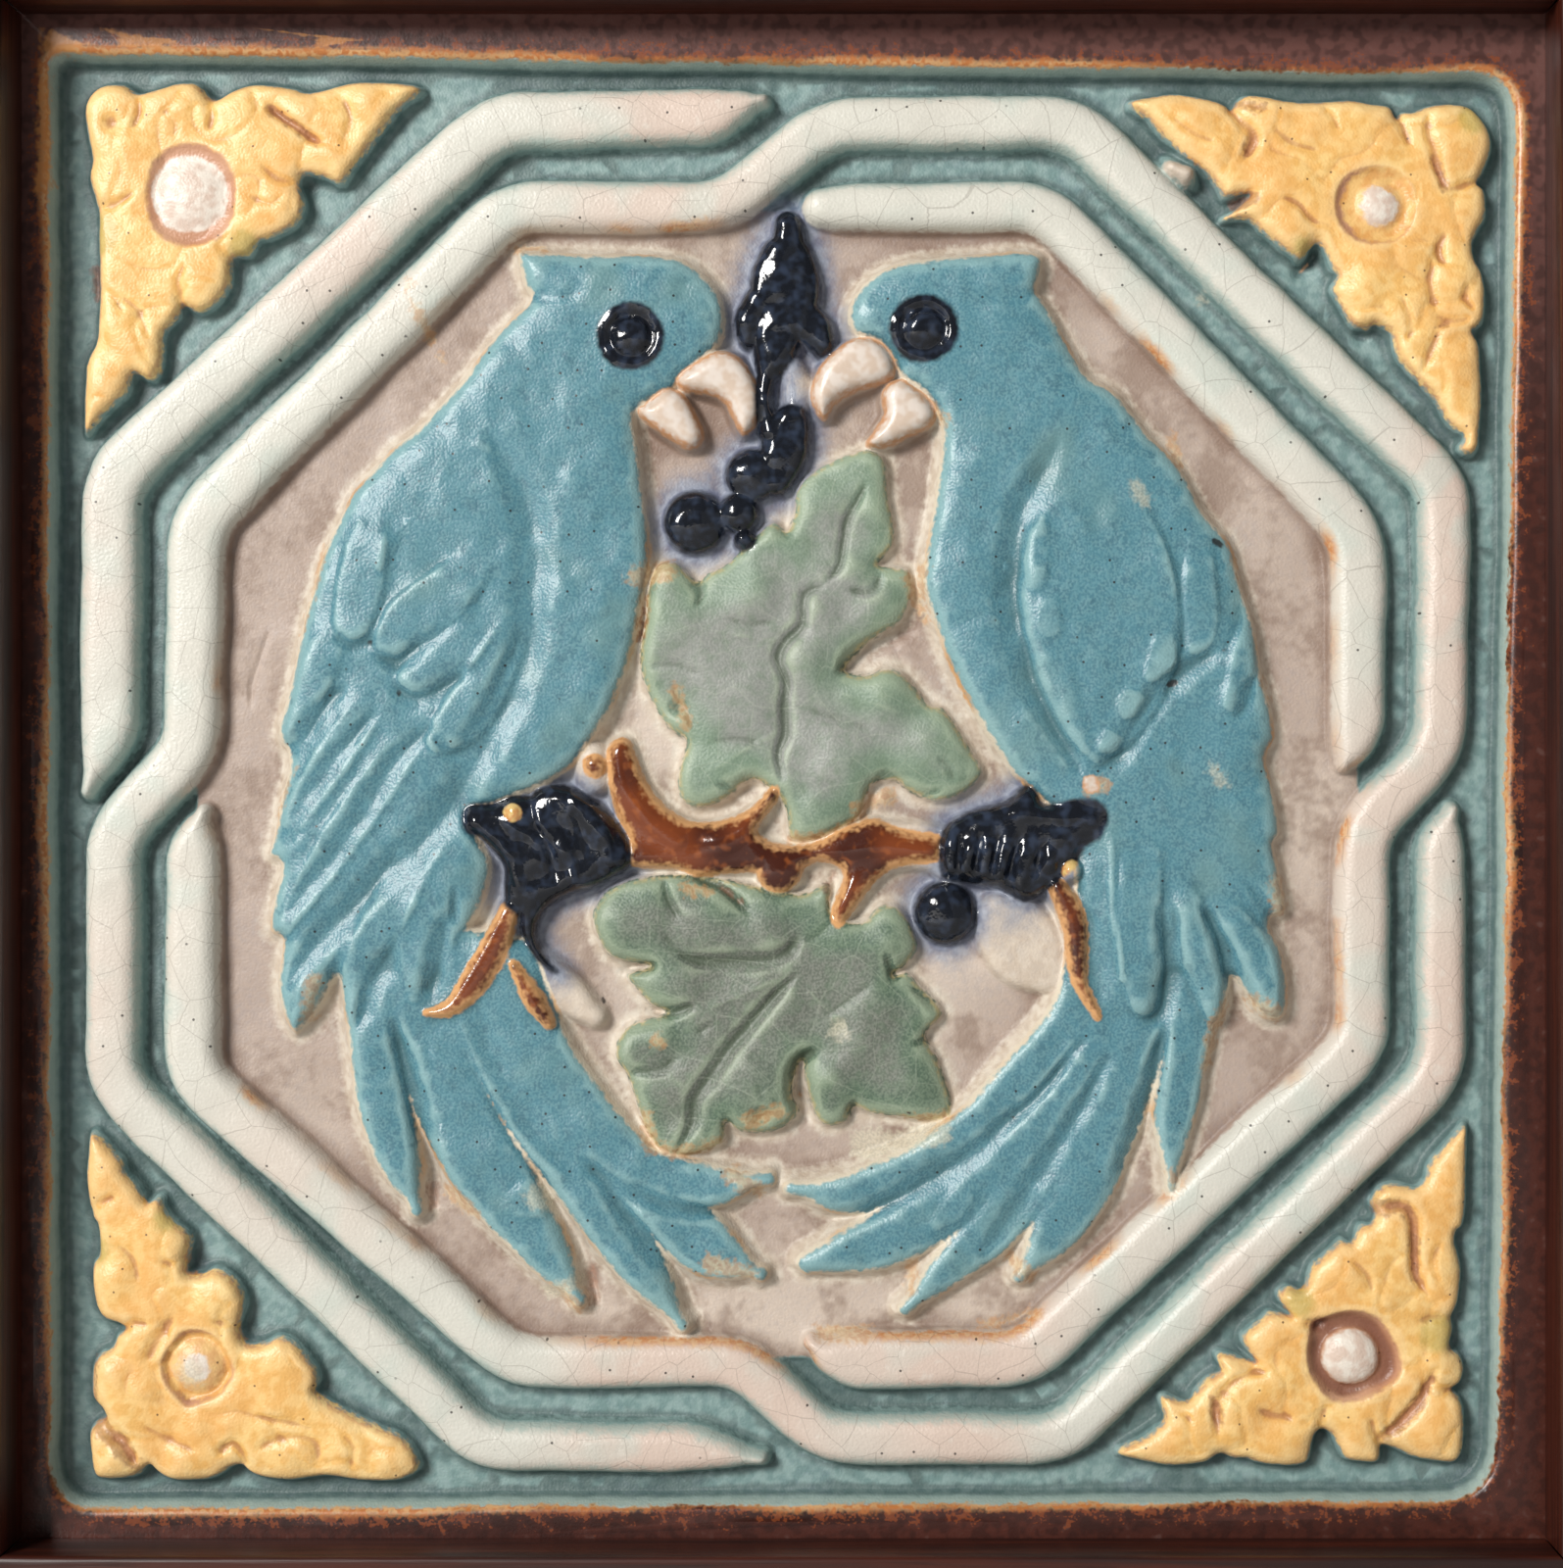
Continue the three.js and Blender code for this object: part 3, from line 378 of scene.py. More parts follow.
FOOT_LIFTS = [
    (0.7, [(470, 832, 5), (492, 850, 8), (518, 874, 8), (530, 905, 5)]),
    (0.5, [(506, 828, 4), (524, 845, 6), (552, 860, 6)]),
    (0.7, [(545, 822, 6), (560, 845, 9), (580, 876, 8), (585, 900, 5)]),
    (0.6, [(560, 808, 6), (592, 822, 9), (616, 850, 9), (622, 880, 6)]),
    (0.6, [(972, 846, 5), (968, 870, 7), (970, 888, 5)]),
    (0.7, [(996, 850, 5), (989, 868, 7), (986, 890, 5)]),
    (0.7, [(1012, 848, 5), (1007, 868, 7), (1004, 892, 5)]),
    (0.7, [(1034, 850, 6), (1024, 872, 8), (1019, 896, 6)]),
    (0.7, [(1058, 852, 6), (1046, 876, 9), (1041, 906, 6)]),
    (0.6, [(1076, 866, 6), (1070, 886, 7)]),
    (0.5, [(1030, 838, 6), (1060, 830, 8), (1108, 834, 9)]),
]
FOOT_GROOVES = [
    (0.7, [(538, 812, 3), (545, 840, 4), (562, 872, 5), (568, 900, 4)]),
    (0.6, [(575, 806, 3), (590, 838, 4), (602, 872, 5)]),
    (0.7, [(980, 850, 3), (978, 888, 4)]), (0.7, [(1000, 850, 3), (996, 890, 4)]),
    (0.7, [(1019, 850, 3), (1012, 892, 4)]), (0.7, [(1040, 852, 3), (1031, 896, 4)]),
    (0.7, [(1064, 858, 3), (1057, 896, 4)]),
]
BEADS = [(523, 830, 10), (1094, 889, 10)]
CLAWS = [
    [(517, 930, 11), (504, 965, 15), (481, 1005, 15), (456, 1030, 9), (434, 1034, 4)],
    [(523, 985, 5), (543, 1017, 11), (560, 1045, 6)],
    [(1080, 905, 9), (1094, 930, 14), (1101, 970, 11), (1102, 1000, 9), (1121, 1038, 4)],
]
CREAM_LUMPS = {
    LUMP_LEVEL: [
        [(903, 842, 4), (935, 845, 7), (963, 848, 5)],
        [(886, 908, 4), (900, 889, 7), (928, 880, 8), (953, 884, 9), (961, 894, 6)],
        [(603, 772, 16), (603, 792, 18)],
        [(808, 372, 12), (813, 396, 16), (810, 420, 12)],
        [(540, 968, 8), (575, 1012, 20), (606, 1038, 13)],
        [(1022, 935, 24), (1045, 965, 42), (1070, 995, 22)],
    ],
    HIGH_LUMP_LEVEL: [
        [(1122, 792, 9), (1125, 806, 9)],
        [(1195, 168, 6), (1211, 176, 8)],
    ],
}
GRAPE_STEM = [
    [(803, 226, 14), (803, 250, 18), (802, 272, 26)],
    [(800, 262, 27), (800, 288, 35), (802, 312, 30)],
    [(774, 304, 15), (763, 326, 14), (765, 344, 9)],
    [(814, 322, 20), (831, 336, 19), (839, 352, 12)],
    [(797, 316, 24), (793, 346, 24), (786, 374, 14)],
    [(784, 372, 10), (779, 410, 9), (784, 440, 12)],
    [(806, 428, 18), (800, 456, 25), (790, 484, 20)],
]
GRAPES = [(766, 484, 27), (708, 532, 32), (752, 522, 21), (759, 550, 11), (966, 932, 32)]
CORNERS = [
    {
        "outline": [
            (83, 103), (97, 85), (120, 83), (137, 92), (160, 87), (177, 82), (197, 83), (210, 97), (220, 100),
            (237, 90), (260, 83), (297, 88), (313, 92), (353, 83), (387, 82), (428, 88), (403, 110), (380, 140),
            (365, 160), (347, 183), (330, 178), (310, 175), (303, 185), (307, 207), (297, 227), (273, 240),
            (262, 245), (250, 258), (233, 262), (230, 287), (217, 307), (200, 315), (183, 308), (177, 320),
            (163, 340), (160, 367), (150, 385), (133, 380), (123, 403), (100, 425), (87, 440), (83, 433),
            (85, 373), (97, 340), (98, 273), (97, 250), (97, 213), (87, 180), (90, 160), (85, 130),
        ],
        "grooves": [
            (0.8, [(273, 107, 4), (300, 128, 7), (327, 147, 4)]),
            (0.7, [(210, 97, 7), (216, 116, 6), (212, 132, 3)]),
            (0.7, [(97, 213, 6), (118, 208, 6), (136, 196, 3)]),
            (0.7, [(137, 92, 6), (140, 112, 5), (132, 130, 3)]),
            (0.6, [(303, 185, 6), (284, 182, 6), (268, 170, 3)]),
            (0.6, [(183, 308, 6), (180, 286, 6), (188, 268, 3)]),
            (0.5, [(120, 300, 4), (140, 318, 5), (150, 345, 4)]),
            (0.5, [(350, 100, 4), (356, 122, 5), (348, 145, 3)]),
            (0.5, [(98, 290, 5), (112, 300, 5), (124, 318, 3)]),
            (0.5, [(233, 262, 6), (222, 250, 5), (230, 240, 3)]),
            (0.5, [(255, 200, 3), (275, 208, 5), (288, 200, 3)]),
            (0.4, [(165, 110, 4), (178, 124, 5), (176, 138, 3)]),
        ],
        "puffs": [(120, 150, 36, 0.5), (170, 108, 32, 0.5), (250, 122, 34, 0.5), (310, 118, 30, 0.5),
                  (375, 105, 26, 0.4), (330, 155, 24, 0.5), (275, 205, 26, 0.5), (115, 250, 34, 0.4),
                  (110, 330, 28, 0.5), (140, 355, 24, 0.4), (200, 285, 28, 0.5), (105, 395, 22, 0.3),
                  (111, 124, 13, -0.8)],
        "lobes": [(248, 249, 15), (100, 238, 20)],
        "pit": [(150, 195), (156, 165), (180, 148), (210, 148), (232, 165), (240, 192), (236, 222), (218, 244),
                (190, 250), (165, 240), (152, 220)],
        "boss": (193, 197, 41, 0.9),
    },
    {
        "outline": [
            (1155, 102), (1175, 97), (1195, 94), (1215, 96), (1240, 101), (1253, 106), (1257, 110), (1270, 96),
            (1290, 95), (1310, 99), (1340, 101), (1380, 99), (1400, 103), (1420, 106), (1428, 118), (1433, 112),
            (1445, 112), (1460, 106), (1480, 104), (1500, 106), (1512, 115), (1521, 128), (1524, 145),
            (1520, 162), (1512, 178), (1510, 184), (1516, 190), (1518, 202), (1517, 218), (1510, 232),
            (1504, 246), (1506, 262), (1513, 275), (1517, 295), (1516, 322), (1508, 333), (1504, 338),
            (1511, 352), (1513, 380), (1514, 410), (1512, 440), (1511, 455), (1503, 463), (1492, 458),
            (1497, 445), (1488, 436), (1478, 425), (1470, 410), (1462, 400), (1447, 385), (1437, 373),
            (1428, 362), (1424, 345), (1420, 336), (1405, 328), (1398, 332), (1385, 330), (1377, 322),
            (1371, 312), (1365, 300), (1362, 290), (1368, 277), (1362, 270), (1355, 255), (1345, 246),
            (1330, 262), (1322, 258), (1310, 250), (1298, 240), (1288, 232), (1280, 224), (1265, 220),
            (1250, 220), (1262, 212), (1278, 195), (1262, 196), (1252, 197), (1245, 188), (1237, 178),
            (1225, 168), (1210, 158), (1200, 148), (1190, 138), (1180, 128), (1172, 118), (1163, 112),
        ],
        "grooves": [
            (1.0, [(1255, 106, 7), (1263, 118, 8), (1277, 134, 8), (1280, 146, 8), (1268, 160, 5)]),
            (0.5, [(1350, 106, 4), (1361, 118, 5), (1366, 132, 3)]),
            (0.8, [(1428, 106, 6), (1433, 126, 6), (1440, 146, 3)]),
            (0.7, [(1460, 110, 4), (1458, 132, 6), (1465, 155, 6), (1476, 190, 4)]),
            (0.9, [(1474, 238, 4), (1468, 255, 6), (1475, 270, 4)]),
            (0.7, [(1462, 260, 4), (1460, 290, 6), (1465, 315, 4)]),
            (0.6, [(1465, 322, 4), (1485, 328, 6), (1503, 324, 5)]),
            (0.7, [(1500, 290, 5), (1494, 302, 5), (1506, 316, 4)]),
            (0.7, [(1470, 335, 4), (1461, 356, 6), (1452, 380, 4)]),
            (1.2, [(1345, 246, 10), (1338, 262, 14), (1326, 280, 8)]),
            (0.8, [(1398, 330, 8), (1392, 342, 9)]), (0.6, [(1510, 184, 6), (1496, 186, 6), (1480, 192, 3)]),
            (0.5, [(1300, 130, 3), (1320, 145, 5), (1345, 152, 3)]),
            (0.5, [(1310, 200, 3), (1330, 212, 5), (1345, 230, 4)]),
            (0.5, [(1195, 118, 3), (1215, 135, 5), (1240, 145, 3)]),
            (0.5, [(1430, 300, 4), (1440, 330, 5), (1436, 350, 3)]),
        ],
        "puffs": [(1490, 145, 35, 0.6), (1485, 380, 40, 0.6), (1300, 118, 26, 0.5), (1335, 130, 26, 0.4),
                  (1395, 125, 30, 0.5), (1220, 125, 30, 0.5), (1245, 155, 24, 0.4), (1300, 185, 34, 0.5),
                  (1315, 225, 26, 0.4), (1395, 290, 28, 0.5), (1430, 320, 26, 0.4), (1485, 215, 28, 0.4),
                  (1488, 285, 26, 0.5), (1445, 375, 20, 0.4), (1500, 430, 14, 0.3), (1350, 190, 28, 0.3)],
        "lobes": [(1504, 120, 14), (1330, 250, 10)],
        "pit": [(1364, 207), (1368, 188), (1382, 174), (1402, 169), (1422, 172), (1438, 184), (1444, 204),
                (1441, 226), (1427, 241), (1405, 246), (1384, 242), (1368, 228)],
        "boss": (1408, 207, 25, 1.3),
    },
    {
        "outline": [
            (90, 1160), (98, 1162), (105, 1168), (115, 1178), (122, 1185), (127, 1198), (135, 1208), (142, 1218),
            (148, 1228), (158, 1224), (163, 1232), (170, 1242), (178, 1250), (186, 1258), (190, 1266),
            (188, 1280), (187, 1295), (192, 1303), (205, 1303), (215, 1298), (225, 1300), (235, 1307),
            (243, 1318), (247, 1332), (244, 1345), (241, 1358), (246, 1372), (256, 1376), (270, 1373),
            (280, 1368), (292, 1370), (303, 1378), (312, 1388), (320, 1400), (322, 1413), (320, 1423),
            (340, 1438), (365, 1452), (390, 1462), (402, 1467), (412, 1476), (420, 1485), (425, 1500),
            (415, 1509), (400, 1513), (370, 1513), (345, 1510), (325, 1509), (300, 1512), (280, 1511),
            (262, 1508), (250, 1503), (243, 1497), (232, 1500), (222, 1507), (205, 1513), (180, 1514),
            (165, 1510), (155, 1503), (150, 1498), (143, 1503), (130, 1511), (100, 1513), (92, 1505), (90, 1490),
            (88, 1470), (92, 1460), (98, 1456), (105, 1452), (101, 1442), (95, 1436), (90, 1428), (90, 1410),
            (92, 1395), (100, 1385), (108, 1382), (114, 1375), (118, 1365), (125, 1358), (118, 1352),
            (105, 1348), (97, 1338), (93, 1322), (91, 1305), (92, 1292), (98, 1283), (99, 1272), (97, 1250),
            (92, 1243), (88, 1225), (86, 1205), (87, 1185),
        ],
        "grooves": [
            (0.7, [(90, 1240, 6), (102, 1228, 6), (118, 1221, 4)]),
            (0.8, [(175, 1345, 5), (160, 1368, 9), (150, 1390, 6)]),
            (0.6, [(145, 1458, 4), (170, 1470, 6), (198, 1481, 4)]),
            (0.9, [(222, 1484, 4), (236, 1474, 6), (246, 1484, 6), (250, 1500, 5)]),
            (0.6, [(262, 1480, 4), (282, 1470, 6), (302, 1467, 6), (319, 1470, 6), (325, 1484, 5), (321, 1496, 3)]),
            (0.9, [(97, 1458, 9), (116, 1464, 9), (128, 1480, 8), (138, 1498, 6)]),
            (0.5, [(262, 1446, 3), (290, 1452, 5), (322, 1460, 3)]),
            (0.7, [(125, 1358, 6), (136, 1350, 6), (150, 1352, 3)]),
            (0.6, [(188, 1285, 6), (174, 1290, 6), (160, 1286, 3)]),
            (0.6, [(244, 1360, 6), (230, 1352, 6), (216, 1350, 3)]),
            (0.5, [(120, 1270, 3), (135, 1285, 5), (140, 1305, 3)]),
            (0.5, [(350, 1465, 3), (362, 1480, 5), (358, 1498, 3)]),
        ],
        "puffs": [(110, 1200, 26, 0.5), (150, 1255, 30, 0.5), (115, 1310, 28, 0.5), (165, 1320, 30, 0.4),
                  (215, 1330, 28, 0.5), (110, 1405, 24, 0.5), (120, 1430, 24, 0.3), (115, 1490, 20, 0.4),
                  (185, 1495, 28, 0.5), (195, 1455, 20, 0.3), (280, 1400, 32, 0.5), (295, 1490, 26, 0.5),
                  (280, 1440, 26, 0.4), (350, 1480, 28, 0.4), (395, 1490, 24, 0.4), (145, 1425, 22, 0.3)],
        "lobes": [(98, 1275, 12), (168, 1245, 12)],
        "pit": [(185, 1360), (200, 1358), (215, 1363), (228, 1378), (237, 1398), (233, 1412), (222, 1425),
                (205, 1433), (190, 1437), (180, 1428), (170, 1415), (165, 1400), (166, 1388), (175, 1373)],
        "boss": (200, 1396, 29, 1.9),
    },
    {
        "outline": [
            (1497, 1150), (1498, 1165), (1498, 1190), (1497, 1215), (1496, 1240), (1493, 1253), (1487, 1258),
            (1486, 1270), (1490, 1282), (1493, 1300), (1491, 1320), (1488, 1335), (1483, 1346), (1484, 1360),
            (1480, 1378), (1490, 1386), (1495, 1398), (1492, 1412), (1483, 1420), (1490, 1428), (1495, 1440),
            (1496, 1465), (1494, 1485), (1487, 1494), (1470, 1494), (1450, 1490), (1435, 1484), (1425, 1480),
            (1412, 1478), (1410, 1490), (1405, 1495), (1390, 1495), (1375, 1492), (1367, 1478), (1362, 1466),
            (1354, 1461), (1346, 1464), (1341, 1474), (1338, 1488), (1334, 1495), (1320, 1498), (1300, 1497),
            (1285, 1494), (1275, 1490), (1262, 1490), (1252, 1486), (1243, 1487), (1232, 1494), (1210, 1497),
            (1185, 1496), (1165, 1493), (1145, 1487), (1152, 1480), (1165, 1472), (1178, 1462), (1190, 1451),
            (1188, 1438), (1187, 1430), (1195, 1430), (1206, 1433), (1215, 1432), (1222, 1422), (1232, 1412),
            (1243, 1405), (1248, 1400), (1244, 1387), (1255, 1385), (1268, 1388), (1283, 1391), (1274, 1379),
            (1270, 1368), (1277, 1358), (1287, 1350), (1297, 1342), (1308, 1342), (1320, 1343), (1310, 1330),
            (1309, 1322), (1318, 1316), (1330, 1318), (1336, 1312), (1342, 1295), (1352, 1285), (1362, 1275),
            (1372, 1268), (1382, 1269), (1388, 1260), (1393, 1253), (1403, 1250), (1408, 1240), (1404, 1228),
            (1412, 1215), (1425, 1210), (1437, 1212), (1448, 1212), (1457, 1203), (1462, 1190), (1470, 1178),
            (1480, 1165), (1490, 1155),
        ],
        "grooves": [
            (1.0, [(1405, 1238, 5), (1420, 1230, 8), (1436, 1231, 8), (1445, 1244, 8), (1444, 1268, 7),
                   (1444, 1295, 7), (1457, 1322, 4)]),
            (1.2, [(1332, 1352, 7), (1344, 1352, 7), (1356, 1348, 4)]),
            (0.8, [(1467, 1395, 4), (1458, 1415, 7), (1445, 1438, 8), (1428, 1456, 7), (1408, 1470, 4)]),
            (0.9, [(1292, 1400, 4), (1270, 1405, 6), (1250, 1420, 8), (1242, 1442, 7), (1243, 1466, 4)]),
            (0.6, [(1246, 1388, 4), (1272, 1395, 6), (1292, 1403, 4)]),
            (0.6, [(1285, 1440, 4), (1300, 1445, 6), (1322, 1448, 4)]),
            (0.6, [(1188, 1434, 4), (1202, 1441, 6), (1217, 1450, 4)]),
            (0.8, [(1484, 1350, 7), (1468, 1346, 7), (1450, 1350, 5)]),
            (0.7, [(1483, 1420, 7), (1470, 1416, 6), (1462, 1405, 3)]),
            (0.7, [(1412, 1478, 6), (1404, 1462, 6), (1400, 1448, 3)]),
            (0.7, [(1352, 1462, 7), (1350, 1448, 6), (1356, 1438, 3)]),
            (0.5, [(1380, 1285, 3), (1396, 1300, 5), (1400, 1320, 3)]),
            (0.5, [(1470, 1270, 3), (1462, 1290, 5), (1470, 1310, 3)]),
        ],
        "puffs": [(1478, 1220, 26, 0.5), (1470, 1300, 24, 0.5), (1425, 1260, 26, 0.4), (1375, 1300, 30, 0.5),
                  (1415, 1330, 28, 0.4), (1470, 1400, 22, 0.5), (1465, 1460, 30, 0.6), (1385, 1465, 26, 0.5),
                  (1300, 1370, 26, 0.5), (1310, 1410, 30, 0.4), (1270, 1450, 26, 0.4), (1220, 1460, 30, 0.5),
                  (1310, 1475, 28, 0.5), (1435, 1230, 20, 0.3), (1200, 1480, 24, 0.3)],
        "lobes": [(1468, 1362, 17), (1330, 1330, 14)],
        "pit": [(1343, 1350), (1365, 1340), (1385, 1338), (1405, 1345), (1418, 1360), (1428, 1380), (1430, 1400),
                (1420, 1415), (1400, 1425), (1380, 1431), (1360, 1428), (1347, 1415), (1338, 1400), (1336, 1380),
                (1338, 1362)],
        "boss": (1380, 1386, 29, 2.6),
    },
]
# Patches of colour: warmer yellow on two bosses, glaze broken to ochre, bare clay, dark specks, pale runs
PATCHES = {
    "gold": [
        [(1378, 207, 10), (1393, 181, 10), (1423, 181, 10), (1438, 207, 10), (1423, 233, 10), (1393, 233, 10),
         (1378, 207, 10)],
        [(175, 1396, 11), (187, 1374, 11), (213, 1374, 11), (225, 1396, 11), (213, 1418, 11), (187, 1418, 11),
         (175, 1396, 11)],
    ],
    "ochre": [
        [(1303, 900, 8), (1308, 926, 9)], [(1280, 1024, 10), (1300, 1034, 10)],
        [(1250, 1022, 5), (1240, 1045, 10)], [(1236, 1062, 8), (1232, 1090, 7)],
        [(1196, 1196, 6), (1198, 1212, 8)],
        [(1035, 1288, 8), (1050, 1302, 9)], [(930, 1290, 8), (928, 1316, 7)],
        [(745, 1200, 10), (772, 1215, 9)],
        [(458, 1220, 8), (482, 1240, 8)], [(726, 1290, 9), (765, 1302, 8)], [(575, 1320, 6), (588, 1338, 7)],
        [(648, 590, 10), (675, 584, 14)], [(928, 590, 8), (936, 615, 10), (944, 632, 6)],
        [(658, 612, 6), (652, 645, 5)], [(690, 706, 5), (700, 736, 7)], [(762, 1146, 9), (796, 1134, 8)],
        [(658, 1138, 7), (664, 1170, 7), (700, 1176, 5), (734, 1166, 5)], [(920, 1140, 5), (968, 1140, 5)],
        [(672, 1062, 7), (676, 1066, 6)], [(418, 290, 5), (432, 330, 7), (450, 366, 5)],
        [(838, 1362, 7), (885, 1364, 7)], [(1005, 1356, 7), (1060, 1342, 5)],
        [(810, 858, 6), (850, 852, 7), (880, 836, 6)],
        [(528, 252, 6), (555, 250, 7)], [(322, 1000, 8), (312, 1035, 9)],
        [(872, 824, 6), (904, 814, 9)],
        [(1196, 440, 6), (1206, 470, 6)], [(1262, 575, 5), (1274, 610, 4)], [(1288, 690, 4), (1296, 715, 4)],
        [(330, 560, 4), (306, 645, 4)], [(300, 782, 4), (281, 830, 4)], [(941, 575, 7), (938, 610, 8)],
        [(53, 45, 9), (73, 44, 9)], [(127, 41, 8), (170, 40, 8)], [(320, 42, 7), (340, 42, 7)],
        [(43, 80, 5), (44, 190, 6)],
        [(700, 906, 5), (722, 912, 5)], [(1110, 806, 4), (1126, 800, 6)], [(944, 404, 3), (966, 430, 4)],
    ],
    "bare": [
        [(276, 110, 6), (325, 146, 6)], [(1276, 140, 8), (1272, 155, 8)], [(1262, 105, 5), (1288, 108, 7)],
        [(1463, 160, 5), (1476, 190, 6)], [(1468, 332, 5), (1480, 330, 6)],
        [(100, 1462, 7), (124, 1478, 9), (136, 1496, 6)],
        [(94, 1390, 4), (93, 1432, 4)], [(1412, 1234, 8), (1436, 1234, 9), (1443, 1262, 7), (1446, 1304, 6)],
        [(1462, 1408, 5), (1445, 1438, 9), (1415, 1468, 6)], [(1238, 1428, 5), (1243, 1450, 6)],
        [(1343, 1352, 9), (1350, 1349, 7)], [(89, 270, 4), (91, 300, 4)], [(600, 1300, 7), (604, 1335, 6)],
        [(437, 1215, 6), (440, 1234, 6)], [(655, 615, 3), (652, 652, 3)], [(735, 906, 4), (755, 922, 4)],
        [(1266, 205, 10), (1280, 202, 8)], [(850, 892, 3), (842, 908, 4)],
    ],
    "dark": [
        [(379, 656, 4), (379, 658, 4)], [(407, 707, 4), (407, 709, 4)], [(413, 340, 3), (413, 341, 3)],
        [(1193, 699, 5), (1199, 697, 5)], [(1249, 662, 4), (1249, 664, 4)], [(1272, 942, 3), (1273, 943, 3)],
        [(1254, 971, 3), (1262, 969, 2)], [(1240, 552, 5), (1246, 556, 5)], [(1284, 843, 2), (1285, 844, 2)],
        [(1032, 1140, 3), (1036, 1143, 3)], [(1003, 1174, 3), (1005, 1176, 3)],
        [(972, 1280, 3), (974, 1281, 3)],
        [(816, 1216, 3), (817, 1217, 3)], [(926, 1134, 4), (928, 1136, 4)], [(614, 1021, 3), (616, 1025, 3)],
        [(1052, 990, 2), (1053, 991, 2)], [(763, 1180, 2), (795, 1185, 2)], [(846, 540, 2), (847, 541, 2)],
    ],
    "pale": [
        [(857, 1049, 11), (858, 1050, 11)], [(193, 1402, 14), (194, 1403, 14)],
        [(880, 1172, 14), (960, 1158, 10)],
        [(545, 1222, 11), (556, 1228, 8)], [(560, 1322, 7), (588, 1310, 6)], [(1236, 784, 3), (1247, 800, 4)],
        [(1158, 495, 6), (1166, 508, 8)], [(1228, 300, 2), (1229, 301, 2)],
    ],
}


# ---------------------------------------------------------------- forms on the grid
EVERYWHERE = (slice(None), slice(None))
SPACING = 8.0  # of the points along a ribbon
LEAST_HALF = 0.5  # of a ribbon's width
CURVE_STEPS = (0.0, 0.33, 0.67)  # of the way from one corner of an outline to the next
SLIGHT, TINY = 1e-6, 1e-9  # keep a division clear of zero

height = np.full(GRID_X.shape, CHANNEL_LEVEL)
zones = {}


def flowing(stations):
    """Points of a smooth ribbon through its stations, each x, y and half width."""
    p = np.array(stations, float)
    if len(p) == 2:
        return p
    p = np.vstack([2 * p[0] - p[1], p, 2 * p[-1] - p[-2]])
    made = []
    for a, b, c, d in zip(p[:-3], p[1:-2], p[2:-1], p[3:]):
        knots = np.cumsum([0.0] + [math.sqrt(np.linalg.norm(v[:2] - u[:2])) + SLIGHT
                                   for u, v in ((a, b), (b, c), (c, d))])
        count = max(2, int(np.linalg.norm(c[:2] - b[:2]) / SPACING))
        for t in np.linspace(knots[1], knots[2], count, endpoint=False):
            ab = a + (b - a) * (t - knots[0]) / (knots[1] - knots[0])
            bc = b + (c - b) * (t - knots[1]) / (knots[2] - knots[1])
            cd = c + (d - c) * (t - knots[2]) / (knots[3] - knots[2])
            abc = ab + (bc - ab) * (t - knots[0]) / (knots[2] - knots[0])
            bcd = bc + (cd - bc) * (t - knots[1]) / (knots[3] - knots[1])
            made.append(abc + (bcd - abc) * (t - knots[1]) / (knots[2] - knots[1]))
    made.append(p[-2])
    return blunt(np.array(made), LEAST_HALF)


def blunt(points, least):
    """The points with no half width under a least one, so that their ends are round."""
    points[:, 2] = np.maximum(points[:, 2], least)
    return points


def turned(before, at, after, reach, count):
    """Points round a corner, on a curve that begins and ends at a reach from it."""
    entry = at + (before - at) * reach / np.linalg.norm((before - at)[:2])
    leave = at + (after - at) * reach / np.linalg.norm((after - at)[:2])
    return [(1 - t) ** 2 * entry + 2 * t * (1 - t) * at + t * t * leave for t in np.linspace(0, 1, count)]


def coursed(stations):
    """Points of a straight-sided course whose corners are eased."""
    p = np.array(stations, float)
    made = [p[0]]
    for before, at, after in zip(p[:-2], p[1:-1], p[2:]):
        room = min(np.linalg.norm((before - at)[:2]), np.linalg.norm((after - at)[:2]))
        made += turned(before, at, after, min(STRAP_BEND, 0.4 * room), 6)
    made.append(p[-1])
    return np.array(made)


def rounded(corners):
    """Points of a closed outline whose corners, each x, y and reach, are rounded."""
    made = []
    for i, (x, y, reach) in enumerate(corners):
        before, after = (np.array(corners[j % len(corners)][:2], float) for j in (i - 1, i + 1))
        made += turned(before, np.array((x, y), float), after, reach, 7)
    return made


def closed(outline):
    """The points of a closed outline, rounded between its corners."""
    p = np.array(outline, float)
    made = []
    for a, b, c, d in zip(np.roll(p, 1, 0), p, np.roll(p, -1, 0), np.roll(p, -2, 0)):
        for t in CURVE_STEPS:
            made.append(0.5 * (2 * b + (c - a) * t + (2 * a - 5 * b + 4 * c - d) * t ** 2
                               + (3 * b - a - 3 * c + d) * t ** 3))
    return np.array(made)


def window(low_x, high_x, low_y, high_y):
    """The grid's rows and columns that cover a rectangle of the drawing."""
    first_x = int(np.clip((low_x - across[0]) / step, 0, CELLS))
    last_x = int(np.clip((high_x - across[0]) / step + 2, 1, CELLS + 1))
    first_y = int(np.clip((low_y - down[0]) / step, 0, CELLS))
    last_y = int(np.clip((high_y - down[0]) / step + 2, 1, CELLS + 1))
    return slice(first_y, last_y), slice(first_x, last_x)


def around(x, y, reach):
    """The window round a point, and the distances from the point across it."""
    at = window(x - reach, x + reach, y - reach, y + reach)
    return at, np.hypot(WARP_X[at] - x, WARP_Y[at] - y)


